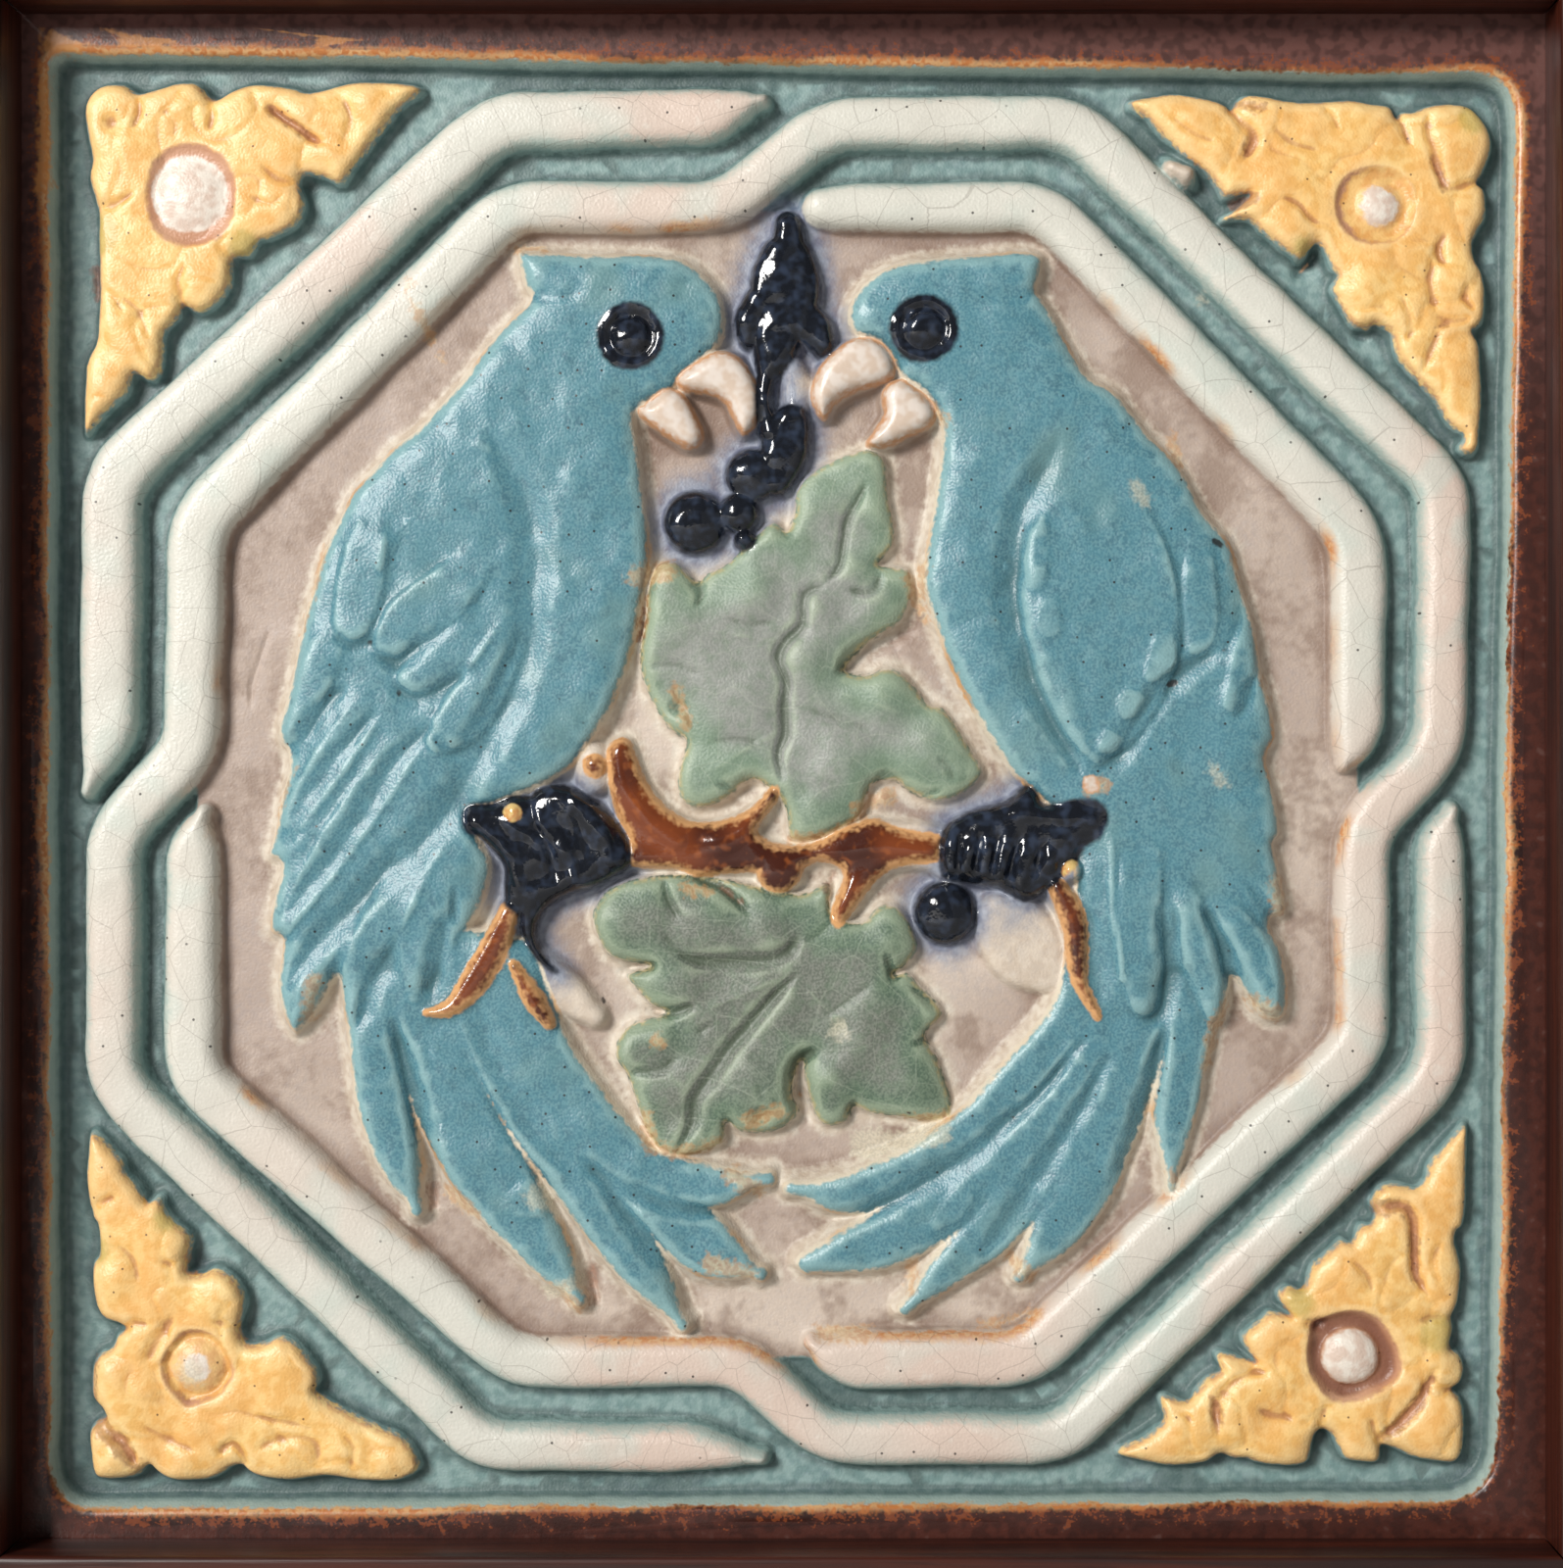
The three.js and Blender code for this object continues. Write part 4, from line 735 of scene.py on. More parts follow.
class Ribbon:
    """A ribbon's signed distance, negative inside, its side from -1 to 1 and how far along it is."""

    def __init__(self, points):
        widest = points[:, 2].max() + REACH
        low, high = points[:, :2].min(0) - widest, points[:, :2].max(0) + widest
        self.at = window(low[0], high[0], low[1], high[1])
        shape = GRID_X[self.at].shape
        self.distance = np.full(shape, REACH)
        self.side = np.zeros(shape)
        self.along = np.zeros(shape)
        offset_y, offset_x = self.at[0].start, self.at[1].start
        lengths = np.linalg.norm(np.diff(points[:, :2], axis=0), axis=1)
        done = np.concatenate([[0], np.cumsum(lengths)]) / max(lengths.sum(), TINY)
        for i, (a, b) in enumerate(zip(points[:-1], points[1:])):
            wide = max(a[2], b[2]) + REACH
            part = window(min(a[0], b[0]) - wide, max(a[0], b[0]) + wide,
                          min(a[1], b[1]) - wide, max(a[1], b[1]) + wide)
            local = (slice(part[0].start - offset_y, part[0].stop - offset_y),
                     slice(part[1].start - offset_x, part[1].stop - offset_x))
            x, y = WARP_X[part] - a[0], WARP_Y[part] - a[1]
            run = b[:2] - a[:2]
            t = np.clip((x * run[0] + y * run[1]) / max(run @ run, TINY), 0, 1)
            half = a[2] + (b[2] - a[2]) * t
            apart = np.hypot(x - run[0] * t, y - run[1] * t)
            found = apart - half
            nearer = found < self.distance[local]
            turn = np.sign(run[0] * y - run[1] * x)
            self.distance[local] = np.where(nearer, found, self.distance[local])
            self.side[local] = np.where(nearer, turn * apart / half, self.side[local])
            self.along[local] = np.where(nearer, done[i] + (done[i + 1] - done[i]) * t, self.along[local])


class Shape:
    """A closed outline's signed distance, negative inside."""

    def __init__(self, points, everywhere=False):
        points = np.asarray(points, float)
        low, high = points.min(0) - REACH, points.max(0) + REACH
        self.at = EVERYWHERE if everywhere else window(low[0], high[0], low[1], high[1])
        at_x, at_y = WARP_X[self.at], WARP_Y[self.at]
        nearest = np.full(at_x.shape, np.inf)
        inside = np.zeros(at_x.shape, bool)
        for a, b in zip(points, np.roll(points, -1, 0)):
            run = b - a
            x, y = at_x - a[0], at_y - a[1]
            t = np.clip((x * run[0] + y * run[1]) / (run @ run), 0, 1)
            nearest = np.minimum(nearest, (x - run[0] * t) ** 2 + (y - run[1] * t) ** 2)
            if a[1] != b[1]:
                crosses = (a[1] > at_y) != (b[1] > at_y)
                inside ^= crosses & (x < y * run[0] / run[1])
        self.distance = np.where(inside, -1, 1) * np.sqrt(nearest)
        self.side = np.ones(at_x.shape)


def mark(zone, at, distance):
    """Adds a form to a zone, the signed distance that its glaze follows."""
    if zone not in zones:
        zones[zone] = np.full(GRID_X.shape, REACH)
    zones[zone][at] = np.minimum(zones[zone][at], distance)


def merge(at, form, blend):
    """Raises the relief to a form, with a fillet about blend mm high where they meet."""
    here = height[at]
    height[at] = np.maximum(here, form) + np.maximum(blend - np.abs(here - form), 0) ** 2 / (4 * blend)


def quarter(inside, reach):
    """A quarter round's drop, from 1 at a form's border to 0 at a reach inside it."""
    u = np.clip(inside / reach, 0, 1)
    return 1 - np.sqrt(1 - (1 - u) ** 2)


def eased(u):
    """0 to 1, level at both ends."""
    u = np.clip(u, 0, 1)
    return u * u * (3 - 2 * u)


def swell(form, zone, level, rounding, fall, crown=0.0, tilt=0.0, wall=3.5, blend=0.3, bulge=0.0, reach=9.0):
    """Raises a form to a level in mm, with shoulders rounding mm wide that fall mm deep."""
    inside = -form.distance * UNIT
    made = level - fall * quarter(inside, rounding) + wall * np.minimum(inside, 0)
    made += crown * (1 - np.clip(form.side, -1, 1) ** 2) + tilt * np.clip(form.side, -1.2, 1.2)
    made += bulge * (1 - (1 - np.clip(inside / reach, 0, 1)) ** 2)
    merge(form.at, made, blend)
    mark(zone, form.at, form.distance)


def dome(x, y, radius, level, drop, zone=None, blend=0.3):
    """A domed button."""
    at, apart = around(x, y, radius + REACH)
    u = np.clip(apart / radius, 0, 1)
    form = level - drop * (1 - np.sqrt(1 - u ** 2)) - 3.5 * np.maximum(apart - radius, 0) * UNIT
    merge(at, form, blend)
    if zone:
        mark(zone, at, apart - radius)
    return at, apart


def lift(lobes, share=1.0, shoulder=1.5):
    """Lobes, each a rise and its stations: they grow slowly from their start to a clear rounded edge."""
    for rise, stations in lobes:
        ribbon = Ribbon(flowing(stations))
        inside = -ribbon.distance * UNIT
        rounding = (1 - quarter(inside, shoulder)) * (inside > 0)
        height[ribbon.at] += 1.2 * (share * rise) * rounding * eased(ribbon.along * 2.2 + 0.1)


def carve(grooves, share=1.0, spread=1.4):
    """Rounded grooves, each a depth and its stations, running out at their ends."""
    for depth, stations in grooves:
        points = flowing(stations)
        points[:, 2] *= spread
        ribbon = Ribbon(points)
        groove = eased(1 - np.abs(ribbon.side)) * (ribbon.distance < 0)
        ends = np.clip(np.minimum(ribbon.along, 1 - ribbon.along) * 6 + 0.35, 0, 1)
        height[ribbon.at] -= share * depth * groove * ends


def puff(mounds, wider=1.0, higher=1.0):
    """Soft mounds, each x, y, radius and rise, or dimples where the rise is negative."""
    for x, y, radius, rise in mounds:
        at, apart = around(x, y, radius * wider)
        height[at] += rise * higher * eased(1 - apart / (radius * wider))


def roughen(zone, shore, noise):
    """Makes the forms of a zone uneven, from nothing at their border to all of it at the shore."""
    height[EVERYWHERE] += eased(-zones[zone] / shore) * noise


# ---------------------------------------------------------------- the relief
recess = Shape(rounded(RECESS), everywhere=True).distance
octagon = Shape(FIELD, everywhere=True).distance
height += 0.22 * cloud(60, 11) + 0.10 * cloud(20, 12)
field_form = FIELD_LEVEL + 0.30 * cloud(70, 13) + 0.16 * cloud(24, 14) - 4.0 * np.maximum(octagon, 0) * UNIT
merge(EVERYWHERE, field_form, 0.3)
zones["rim"] = recess
zones["field"] = octagon
carve(FIELD_SCRATCH, spread=1.0)

# Straps
for course in STRAPS:
    swell(Ribbon(blunt(coursed(course), 8)), "strap", STRAP_LEVEL, 3.5, 3.2, crown=0.25, wall=3.2)
roughen("strap", 10, 0.14 * cloud(44, 15) + 0.06 * cloud(14, 16))

# Corner foliage
for corner in CORNERS:
    swell(Shape(closed(corner["outline"])), "foliage", FOLIAGE_LEVEL, 2.2, 2.0, wall=3.0, bulge=0.5, reach=6.0)
folds = np.exp(-(cloud(40, 17) / 0.10) ** 2)
roughen("foliage", 8, 0.26 * cloud(28, 18) + 0.07 * cloud(12, 19) - 0.34 * folds)
for corner in CORNERS:
    puff(corner["puffs"])
    carve(corner["grooves"])
    for x, y, radius in corner["lobes"]:
        at, apart = around(x, y, 60)
        mark("green", at, apart - radius)
    pit = Shape(closed(corner["pit"]))
    x, y, radius, depth = corner["boss"]
    height[pit.at] -= depth * (1 - quarter(-pit.distance * UNIT, 2.2)) * (pit.distance < 0)
    mark("pit", pit.at, pit.distance)
    dome(x, y, radius, BOSS_LEVEL, drop=2.4, zone="boss", blend=0.2)

# Leaves
for leaf in LEAVES:
    swell(Shape(closed(leaf["outline"])), "leaf", LEAF_LEVEL, 2.8, 2.2, wall=1.5, bulge=0.5, reach=7.0)
roughen("leaf", 8, 0.55 * cloud(46, 20) + 0.18 * cloud(17, 21))
for leaf in LEAVES:
    puff(leaf["puffs"], wider=1.15, higher=2.2)
    carve(leaf["grooves"])
    lift([(0.25, vein) for vein in leaf["veins"]], shoulder=0.6)

# Birds
for bird in (LEFT_BIRD, RIGHT_BIRD):
    for i, tail in enumerate(bird["tail"]):
        swell(Ribbon(blunt(flowing(tail), 9)), "bird", BIRD_LEVEL - TAIL_STEP * i, 2.6, 2.0,
              crown=0.3, tilt=0.35, wall=1.3)
    swell(Shape(closed(bird["outline"])), "bird", BIRD_LEVEL, 3.0, 2.4, wall=1.3, bulge=1.2)
roughen("bird", 8, 0.24 * cloud(44, 22) + 0.16 * cloud(19, 23) + 0.10 * cloud(9, 28))
for bird in (LEFT_BIRD, RIGHT_BIRD):
    lift(bird["lifts"], share=1.15)
    carve(bird["grooves"], share=0.8, spread=2.0)
    for half, level in (("beak", BEAK_LEVEL), ("jaw", JAW_LEVEL)):
        swell(Shape(closed(bird[half])), "beak", level, 2.6, 2.4, wall=2.4, bulge=0.5, reach=4.0)
    x, y = bird["eye"]
    at, apart = dome(x, y, EYE_RADIUS, EYE_LEVEL, drop=1.3, zone="black")
    height[at] -= 1.3 * np.exp(-((apart - EYE_RING) / 4.0) ** 2)
    dome(x + 3, y, PUPIL_RADIUS, PUPIL_LEVEL, drop=1.5)
puff(WING_BUMPS)

# Branch and cream lumps
swell(Shape(closed(BRANCH)), "wood", BRANCH_LEVEL, 2.6, 2.2, wall=2.0, bulge=0.4, reach=3.0)
lift(BRANCH_LIFTS, shoulder=1.6)
roughen("wood", 5, 0.16 * cloud(22, 24))
for zone, knots in KNOTS.items():
    for x, y, radius in knots:
        dome(x, y, radius, KNOT_LEVEL, drop=1.8, zone=zone)
for level, lumps in CREAM_LUMPS.items():
    for lump in lumps:
        swell(Ribbon(flowing(lump)), "cream", level, 2.8, 2.2, wall=1.6)

# Grapes, feet and claws
for stem in GRAPE_STEM:
    swell(Ribbon(flowing(stem)), "black", STEM_LEVEL, 2.6, 2.2, crown=0.4, blend=0.15)
for x, y, radius in GRAPES:
    dome(x, y, radius, GRAPE_LEVEL, drop=3.4, zone="black", blend=0.15)
for foot in (LEFT_FOOT, RIGHT_FOOT):
    swell(Shape(closed(foot)), "black", FOOT_LEVEL, 3.2, 2.8, bulge=0.6, reach=5.0)
for claw in CLAWS:
    swell(Ribbon(flowing(claw)), "wood", CLAW_LEVEL, 2.0, 1.7, crown=0.4)
lift(FOOT_LIFTS, shoulder=1.3)
carve(FOOT_GROOVES)
for x, y, radius in BEADS:
    dome(x, y, radius, BEAD_LEVEL, drop=1.6, zone="bead")
roughen("black", 5, 0.34 * cloud(17, 25) + 0.12 * cloud(7, 26))

# Patches of colour. Dark specks are smaller than a ribbon can be, and bare clay lies a little lower
SPECK_LESS = 1.2
for zone, patches in PATCHES.items():
    for patch in patches:
        ribbon = Ribbon(flowing(patch))
        mark(zone, ribbon.at, ribbon.distance + (SPECK_LESS if zone == "dark" else 0.0))
        if zone == "bare":
            carve([(0.6, patch)], spread=1.2)

# The rim, laid over the softened relief with a wider fillet and left flat beyond the frame's lip
RIM_FILLET, FLAT_FROM = 0.4, 16
rim_form = TILE_THICKNESS - 1.6 * quarter(recess * UNIT, 1.9) + 3.0 * np.minimum(recess, 0) * UNIT
height = soften(height, 1.3)
rim_form += 0.10 * cloud(60, 27) * (recess > 0)
merge(EVERYWHERE, rim_form, RIM_FILLET)
height = np.where(recess > FLAT_FROM, TILE_THICKNESS, height)
height = np.minimum(soften(height, 0.9), HIGHEST)

# What the glazes read beside the zones: fine and broad relief, which place painted shade in hollows and a painted
# highlight on ridges, slow waves, and the bend of the crackle
zones["fine"] = (height - soften(height, 5)) * 4
zones["broad"] = (height - soften(height, 18)) * 1.5
zones["wander"] = cloud(34, 31)
zones["drift"] = cloud(170, 32)
zones["bend_x"] = cloud(60, 33)
zones["bend_z"] = cloud(60, 34)


# ---------------------------------------------------------------- the tile's mesh
def closed_tile():
    """One closed mesh: the relief, the four sides and the plain back."""
    count = CELLS + 1
    x = (GRID_X - CENTRE[0]) * UNIT
    z = CENTRE_Z + (CENTRE[1] - GRID_Y) * UNIT
    top = np.stack([x, TILE_BACK_Y - height, z], -1).reshape(-1, 3)
    index = np.arange(count * count).reshape(count, count)
    border = np.concatenate([index[0, :-1], index[:-1, -1], index[-1, :0:-1], index[:0:-1, 0]])
    back = top[border].copy()
    back[:, 1] = TILE_BACK_Y
    middle = np.array([[0, TILE_BACK_Y, CENTRE_Z]])
    points = np.vstack([top, back, middle]) / 1000
    a, b, c, d = index[:-1, :-1], index[1:, :-1], index[1:, 1:], index[:-1, 1:]
    odd = (np.add.outer(np.arange(CELLS), np.arange(CELLS)) % 2).astype(bool)[..., None]
    first = np.where(odd, np.stack([a, b, c], -1), np.stack([a, b, d], -1)).reshape(-1, 3)
    second = np.where(odd, np.stack([a, c, d], -1), np.stack([b, c, d], -1)).reshape(-1, 3)
    ring = np.arange(len(border)) + count * count
    after = np.roll(np.arange(len(border)), -1)
    centre = np.full(len(border), count * count + len(border))
    sides = np.vstack([
        np.stack([border, border[after], ring], -1),
        np.stack([border[after], ring[after], ring], -1),
        np.stack([ring, ring[after], centre], -1),
    ])
    faces = np.vstack([first, second, sides])
    mesh = bpy.data.meshes.new("tile_relief")
    mesh.vertices.add(len(points))
    mesh.vertices.foreach_set("co", points.astype(np.float32).ravel())
    mesh.loops.add(faces.size)
    mesh.loops.foreach_set("vertex_index", faces.astype(np.int32).ravel())
    mesh.polygons.add(len(faces))
    mesh.polygons.foreach_set("loop_start", np.arange(0, faces.size, 3, dtype=np.int32))
    mesh.update(calc_edges=True)
    return mesh


def link(mesh, name):
    """A new object in the scene."""
    made = bpy.data.objects.new(name, mesh)
    bpy.context.scene.collection.objects.link(made)
    return made


def settle(obj):
    """Takes the object's modifiers into its mesh."""
    graph = bpy.context.evaluated_depsgraph_get()
    mesh = bpy.data.meshes.new_from_object(obj.evaluated_get(graph))
    old = obj.data
    obj.modifiers.clear()
    obj.data = mesh
    bpy.data.meshes.remove(old)


def smooth(mesh, sharp_over):
    """Smooth shading, with sharp edges where faces turn by more than an angle in degrees."""
    mesh.polygons.foreach_set("use_smooth", np.ones(len(mesh.polygons), bool))
    mesh.set_sharp_from_angle(angle=math.radians(sharp_over))


def keep_zones(mesh):
    """Signed distances and relief measures at each vertex, read from the grid."""
    last_cell = CELLS - 1e-4
    points = np.zeros(len(mesh.vertices) * 3, np.float32)
    mesh.vertices.foreach_get("co", points)
    points = points.reshape(-1, 3) * 1000
    u = np.clip((points[:, 0] / UNIT + CENTRE[0] - across[0]) / step, 0, last_cell)
    v = np.clip((CENTRE[1] - (points[:, 2] - CENTRE_Z) / UNIT - down[0]) / step, 0, last_cell)
    column, row = u.astype(int), v.astype(int)
    fx, fy = u - column, v - row
    kept = {
        name: (values[row, column] * (1 - fx) * (1 - fy) + values[row, column + 1] * fx * (1 - fy)
               + values[row + 1, column] * (1 - fx) * fy + values[row + 1, column + 1] * fx * fy)
        for name, values in zones.items()
    }
    kept["front"] = points[:, 1] < TILE_BACK_Y - GLAZED_FROM
    for name, values in kept.items():
        mesh.attributes.new(name, "FLOAT", "POINT").data.foreach_set("value", values.astype(np.float32))


tile = link(closed_tile(), "tile_relief")
thin = tile.modifiers.new("thin", "DECIMATE")
thin.ratio = FACES / len(tile.data.polygons)
settle(tile)
keep_zones(tile.data)
smooth(tile.data, 80)


# ---------------------------------------------------------------- materials
def colour(red, green, blue):
    """A colour given as the eye reads it, 0 to 255."""
    linear = [((c / 255 + 0.055) / 1.055) ** 2.4 if c > 10.3 else c / 255 / 12.92 for c in (red, green, blue)]
    return (*linear, 1.0)


class Graph:
    """A material's nodes, written as sums. Places are in millimetres."""

    def __init__(self, name):
        self.material = bpy.data.materials.new(name)
        self.material.use_nodes = True
        self.tree = self.material.node_tree
        self.tree.nodes.clear()
        self.place = self.scaled(self.node("ShaderNodeTexCoord").outputs["Object"], (1000.0,) * 3)

    def node(self, kind, **settings):
        made = self.tree.nodes.new(kind)
        for key, value in settings.items():
            setattr(made, key, value)
        return made

    def put(self, socket, value):
        if isinstance(value, bpy.types.NodeSocket):
            self.tree.links.new(value, socket)
        else:
            socket.default_value = value

    def made(self, kind, given, output=0, **settings):
        """The output of a node whose inputs are given by name or number."""
        node = self.node(kind, **settings)
        for key, value in given.items():
            self.put(node.inputs[key], value)
        return node.outputs[output]

    def scaled(self, vector, factors):
        return self.made("ShaderNodeVectorMath", {0: vector, 1: factors}, operation="MULTIPLY")

    def add(self, a, b):
        return self.made("ShaderNodeMath", {0: a, 1: b}, operation="ADD")

    def times(self, a, b):
        return self.made("ShaderNodeMath", {0: a, 1: b}, operation="MULTIPLY")

    def ramp(self, value, low, high, out_low=0.0, out_high=1.0):
        """A smooth step of a value from low to high, which may also fall."""
        given = dict(enumerate((value, low, high, out_low, out_high)))
        return self.made("ShaderNodeMapRange", given, interpolation_type="SMOOTHSTEP")

    def mix(self, factor, a, b):
        return self.made("ShaderNodeMix", {0: factor, 6: a, 7: b}, output=2, data_type="RGBA")

    def lerp(self, factor, a, b):
        return self.made("ShaderNodeMix", {0: factor, 2: a, 3: b}, data_type="FLOAT")

    def noise(self, size, detail, roughness, offset):
        """Noise with features of a size, taken at a place of its own."""
        apart = (offset, offset * 0.7, offset * 1.3)
        vector = self.made("ShaderNodeVectorMath", {0: self.place, 1: apart}, operation="ADD")
        given = {"Vector": vector, "Scale": 1.0 / size, "Detail": detail, "Roughness": roughness}
        return self.made("ShaderNodeTexNoise", given)

    def cells(self, size, vector, feature="F1"):
        """A node of flat cells of a size."""
        made = self.node("ShaderNodeTexVoronoi", feature=feature, voronoi_dimensions="2D")
        self.put(made.inputs["Vector"], vector)
        self.put(made.inputs["Scale"], 1.0 / size)
        return made

    def field(self, name):
        return self.node("ShaderNodeAttribute", attribute_name=name).outputs["Fac"]

    def bump(self, height, depth):
        return self.made("ShaderNodeBump", {"Strength": 1.0, "Distance": depth / 1000, "Height": height})

    def surface(self, base, roughness, normal):
        given = {"Base Color": base, "Roughness": roughness, "Normal": normal}
        return self.made("ShaderNodeBsdfPrincipled", given)

    def join(self, factor, under, over):
        return self.made("ShaderNodeMixShader", {0: factor, 1: under, 2: over})

    def finished(self, surface):
        self.put(self.node("ShaderNodeOutputMaterial").inputs[0], surface)
        return self.material


class TileGlazes(Graph):
    """The glazes. Each is a surface of its own, and the masks between them follow the zones' borders."""

    def __init__(self):
        super().__init__("tile_glaze")
        self.wander, self.drift = self.field("wander"), self.field("drift")
        self.fine, self.broad = self.field("fine"), self.field("broad")
        ragged = self.noise(1.4, 1.0, 0.6, offset=31.0)
        self.mottle = self.noise(2.4, 1.0, 0.65, offset=97.0)
        self.speckle = self.noise(0.5, 0.0, 0.5, offset=83.0)
        self.torn = self.ramp(ragged, 0.38, 0.62)
        self.patchy = self.ramp(self.mottle, 0.35, 0.65)
        self.grain = self.ramp(self.speckle, 0.3, 0.7)
        self.slow = self.ramp(self.wander, -0.7, 0.7)
        self.slower = self.ramp(self.drift, -0.5, 0.7)
        # painted light from the relief: ridges are paler where the glaze runs thin and also carry a painted
        # highlight; creases and sunk places carry painted shade
        self.ridge_glaze_and_highlight = self.ramp(self.fine, 0.15, 0.9)
        self.crease_shade = self.ramp(self.fine, -0.1, -1.2)
        self.sunk_shade = self.ramp(self.broad, -0.4, -2.4)
        self.matt = self.bump(self.speckle, 0.07)
        self.sleek = self.bump(self.speckle, 0.02)
        place = self.node("ShaderNodeSeparateXYZ")
        self.put(place.inputs[0], self.place)
        self.right, self.up = place.outputs[0], place.outputs[2]
        # borders wander by a few tenths of a millimetre
        self.sway = self.add(self.times(self.wander, 1.6), self.times(self.add(ragged, -0.5), 9.0))
        self.patches = (
            (self.inside("ochre", -1.0, 4.0, 2.2), 0.55, self.between(self.torn, (196, 144, 90), (220, 190, 142))),
            (self.inside("bare", -1.5, 3.0, 1.6), 0.5, self.between(self.torn, (128, 80, 62), (176, 122, 96))),
            (self.inside("pale", 1.0, 5.0, 2.0), 0.5, self.between(self.grain, (190, 186, 164), (222, 214, 188))),
            (self.inside("dark", -0.5, 1.2, 0.3), 0.9, (38, 34, 34)),
        )

    def border(self, name, wobble):
        """A zone's signed distance, with its border swaying."""
        return self.add(self.field(name), self.times(self.sway, wobble))

    def inside(self, name, edge, soft=1.5, wobble=1.0):
        """1 in a zone and 0 outside it, with a soft edge some units outside its border."""
        return self.ramp(self.border(name, wobble), edge + soft, edge - soft)

    def between(self, share, a, b):
        return self.mix(share, colour(*a), colour(*b))

    def over(self, tone, *layers):
        """A tone with others laid over it, each given as its mask, its share and its colour."""
        for mask, share, upper in layers:
            mask = self.times(mask, share) if share < 1 else mask
            tone = self.mix(mask, tone, colour(*upper) if isinstance(upper, tuple) else upper)
        return tone

    def flat(self, aside=0.0, above=0.0):
        """The place across the tile's face, shifted."""
        return self.made("ShaderNodeCombineXYZ", {0: self.add(self.right, aside), 1: self.add(self.up, above)})

    def crackle(self, size, width):
        bent = self.flat(self.times(self.field("bend_x"), 3.0), self.times(self.field("bend_z"), 3.0))
        cracks = self.cells(size, bent, "DISTANCE_TO_EDGE")
        return self.ramp(cracks.outputs["Distance"], width, width / 3)

    def pinholes(self, size, least, wide):
        """One hole in a cell, in those cells whose random value is above the least."""
        hole = self.cells(size, self.flat())
        return self.times(self.ramp(hole.outputs["Distance"], wide, 0.6 * wide),
                          self.ramp(hole.outputs["Color"], least, least + 0.1))

    def channel(self):
        """Grey teal, with painted shade in the narrow channels and at the foot of the straps and other walls, a
        painted highlight on its ridges, and pale at the foot of the rim.
        """
        rim_foot = self.times(self.ramp(self.field("rim"), -6.0, -1.0), self.ramp(self.field("foliage"), 0.0, 4.0))
        return self.over(
            self.between(self.patchy, (113, 141, 139), (136, 161, 158)),
            # painted shade deep in the narrow channels and at the foot of the walls, and a painted highlight on the
            # ridges
            (self.ramp(self.broad, -2.8, -5.2), 0.6, (50, 68, 66)),
            (self.ramp(self.fine, -0.4, -2.0), 0.5, (34, 50, 48)),
            (self.ridge_glaze_and_highlight, 0.5, (164, 186, 178)),
            (self.inside("strap", 4.0, 2.0), 0.45, (150, 178, 172)),
            (rim_foot, 0.6, (172, 186, 174)),
        )

    def bare_field(self):
        """Bare pinkish clay under a thin matt glaze, dirty in places, with painted shade where it sinks beside the
        forms.
        """
        dirt = self.ramp(self.add(self.wander, self.times(self.mottle, 2.4)), 0.8, 2.3)
        return self.over(
            self.between(self.slower, (176, 157, 144), (204, 188, 173)),
            (dirt, 0.7, (138, 116, 102)),
            # painted shade where the field sinks beside the forms
            (self.ramp(self.broad, -1.0, -3.0), 0.6, (120, 94, 78)),
        )

    def ground(self):
        """Channel and field, with pale slip on the slopes round the forms and a blue-grey bloom round the black."""
        slip = self.between(self.patchy, (222, 212, 194), (202, 187, 167))
        cream = self.between(self.patchy, (212, 198, 181), (200, 184, 166))
        bloom = self.between(self.patchy, (98, 108, 132), (136, 146, 164))
        return self.over(
            self.channel(),
            (self.inside("field", -2.0, 2.0, 0.5), 1, self.bare_field()),
            *((self.inside(name, 11.0, 6.0, 1.5), 0.8, slip) for name in ("bird", "leaf", "wood")),
            (self.inside("cream", 1.0, 3.0), 1, cream),
            (self.inside("black", 17.0, 16.0, 1.5), 0.9, bloom),
            *self.patches,
        )

    def strap(self):
        """Cream with a drift of pink and grey-green, crackled, and broken at its edges."""
        edge = self.ramp(self.border("strap", 1.3), -11.0, -1.0)
        by_field = self.ramp(self.field("field"), 18.0, -6.0)
        often = self.lerp(by_field, 0.75, self.ramp(self.add(self.wander, self.drift), -0.3, 1.0))
        broken = self.mix(by_field, colour(166, 186, 178), self.between(self.torn, (198, 134, 82), (212, 172, 132)))
        return self.over(
            self.between(self.slower, (210, 208, 197), (212, 192, 178)),
            (self.ramp(self.wander, 0.1, 1.0), 0.5, (194, 204, 194)),
            (self.ramp(self.mottle, 0.6, 0.8), 0.35, (224, 218, 207)),
            (self.times(edge, often), 1, broken),
            (self.crackle(7.5, 0.018), 0.3, (112, 102, 92)),
            (self.pinholes(7.1, 0.56, 0.045), 0.85, (40, 36, 34)),
            *self.patches,
        )

    def foliage(self):
        """Yellow, orange-pink on its edges, with painted shade in its creases and a painted highlight on its
        ridges, and bosses in brown pits darkened deep down by painted shade.
        """
        at_edge = self.ramp(self.field("foliage"), -6.0, 0.0)
        on_foliage = self.ramp(self.field("foliage"), 3.0, -2.0)
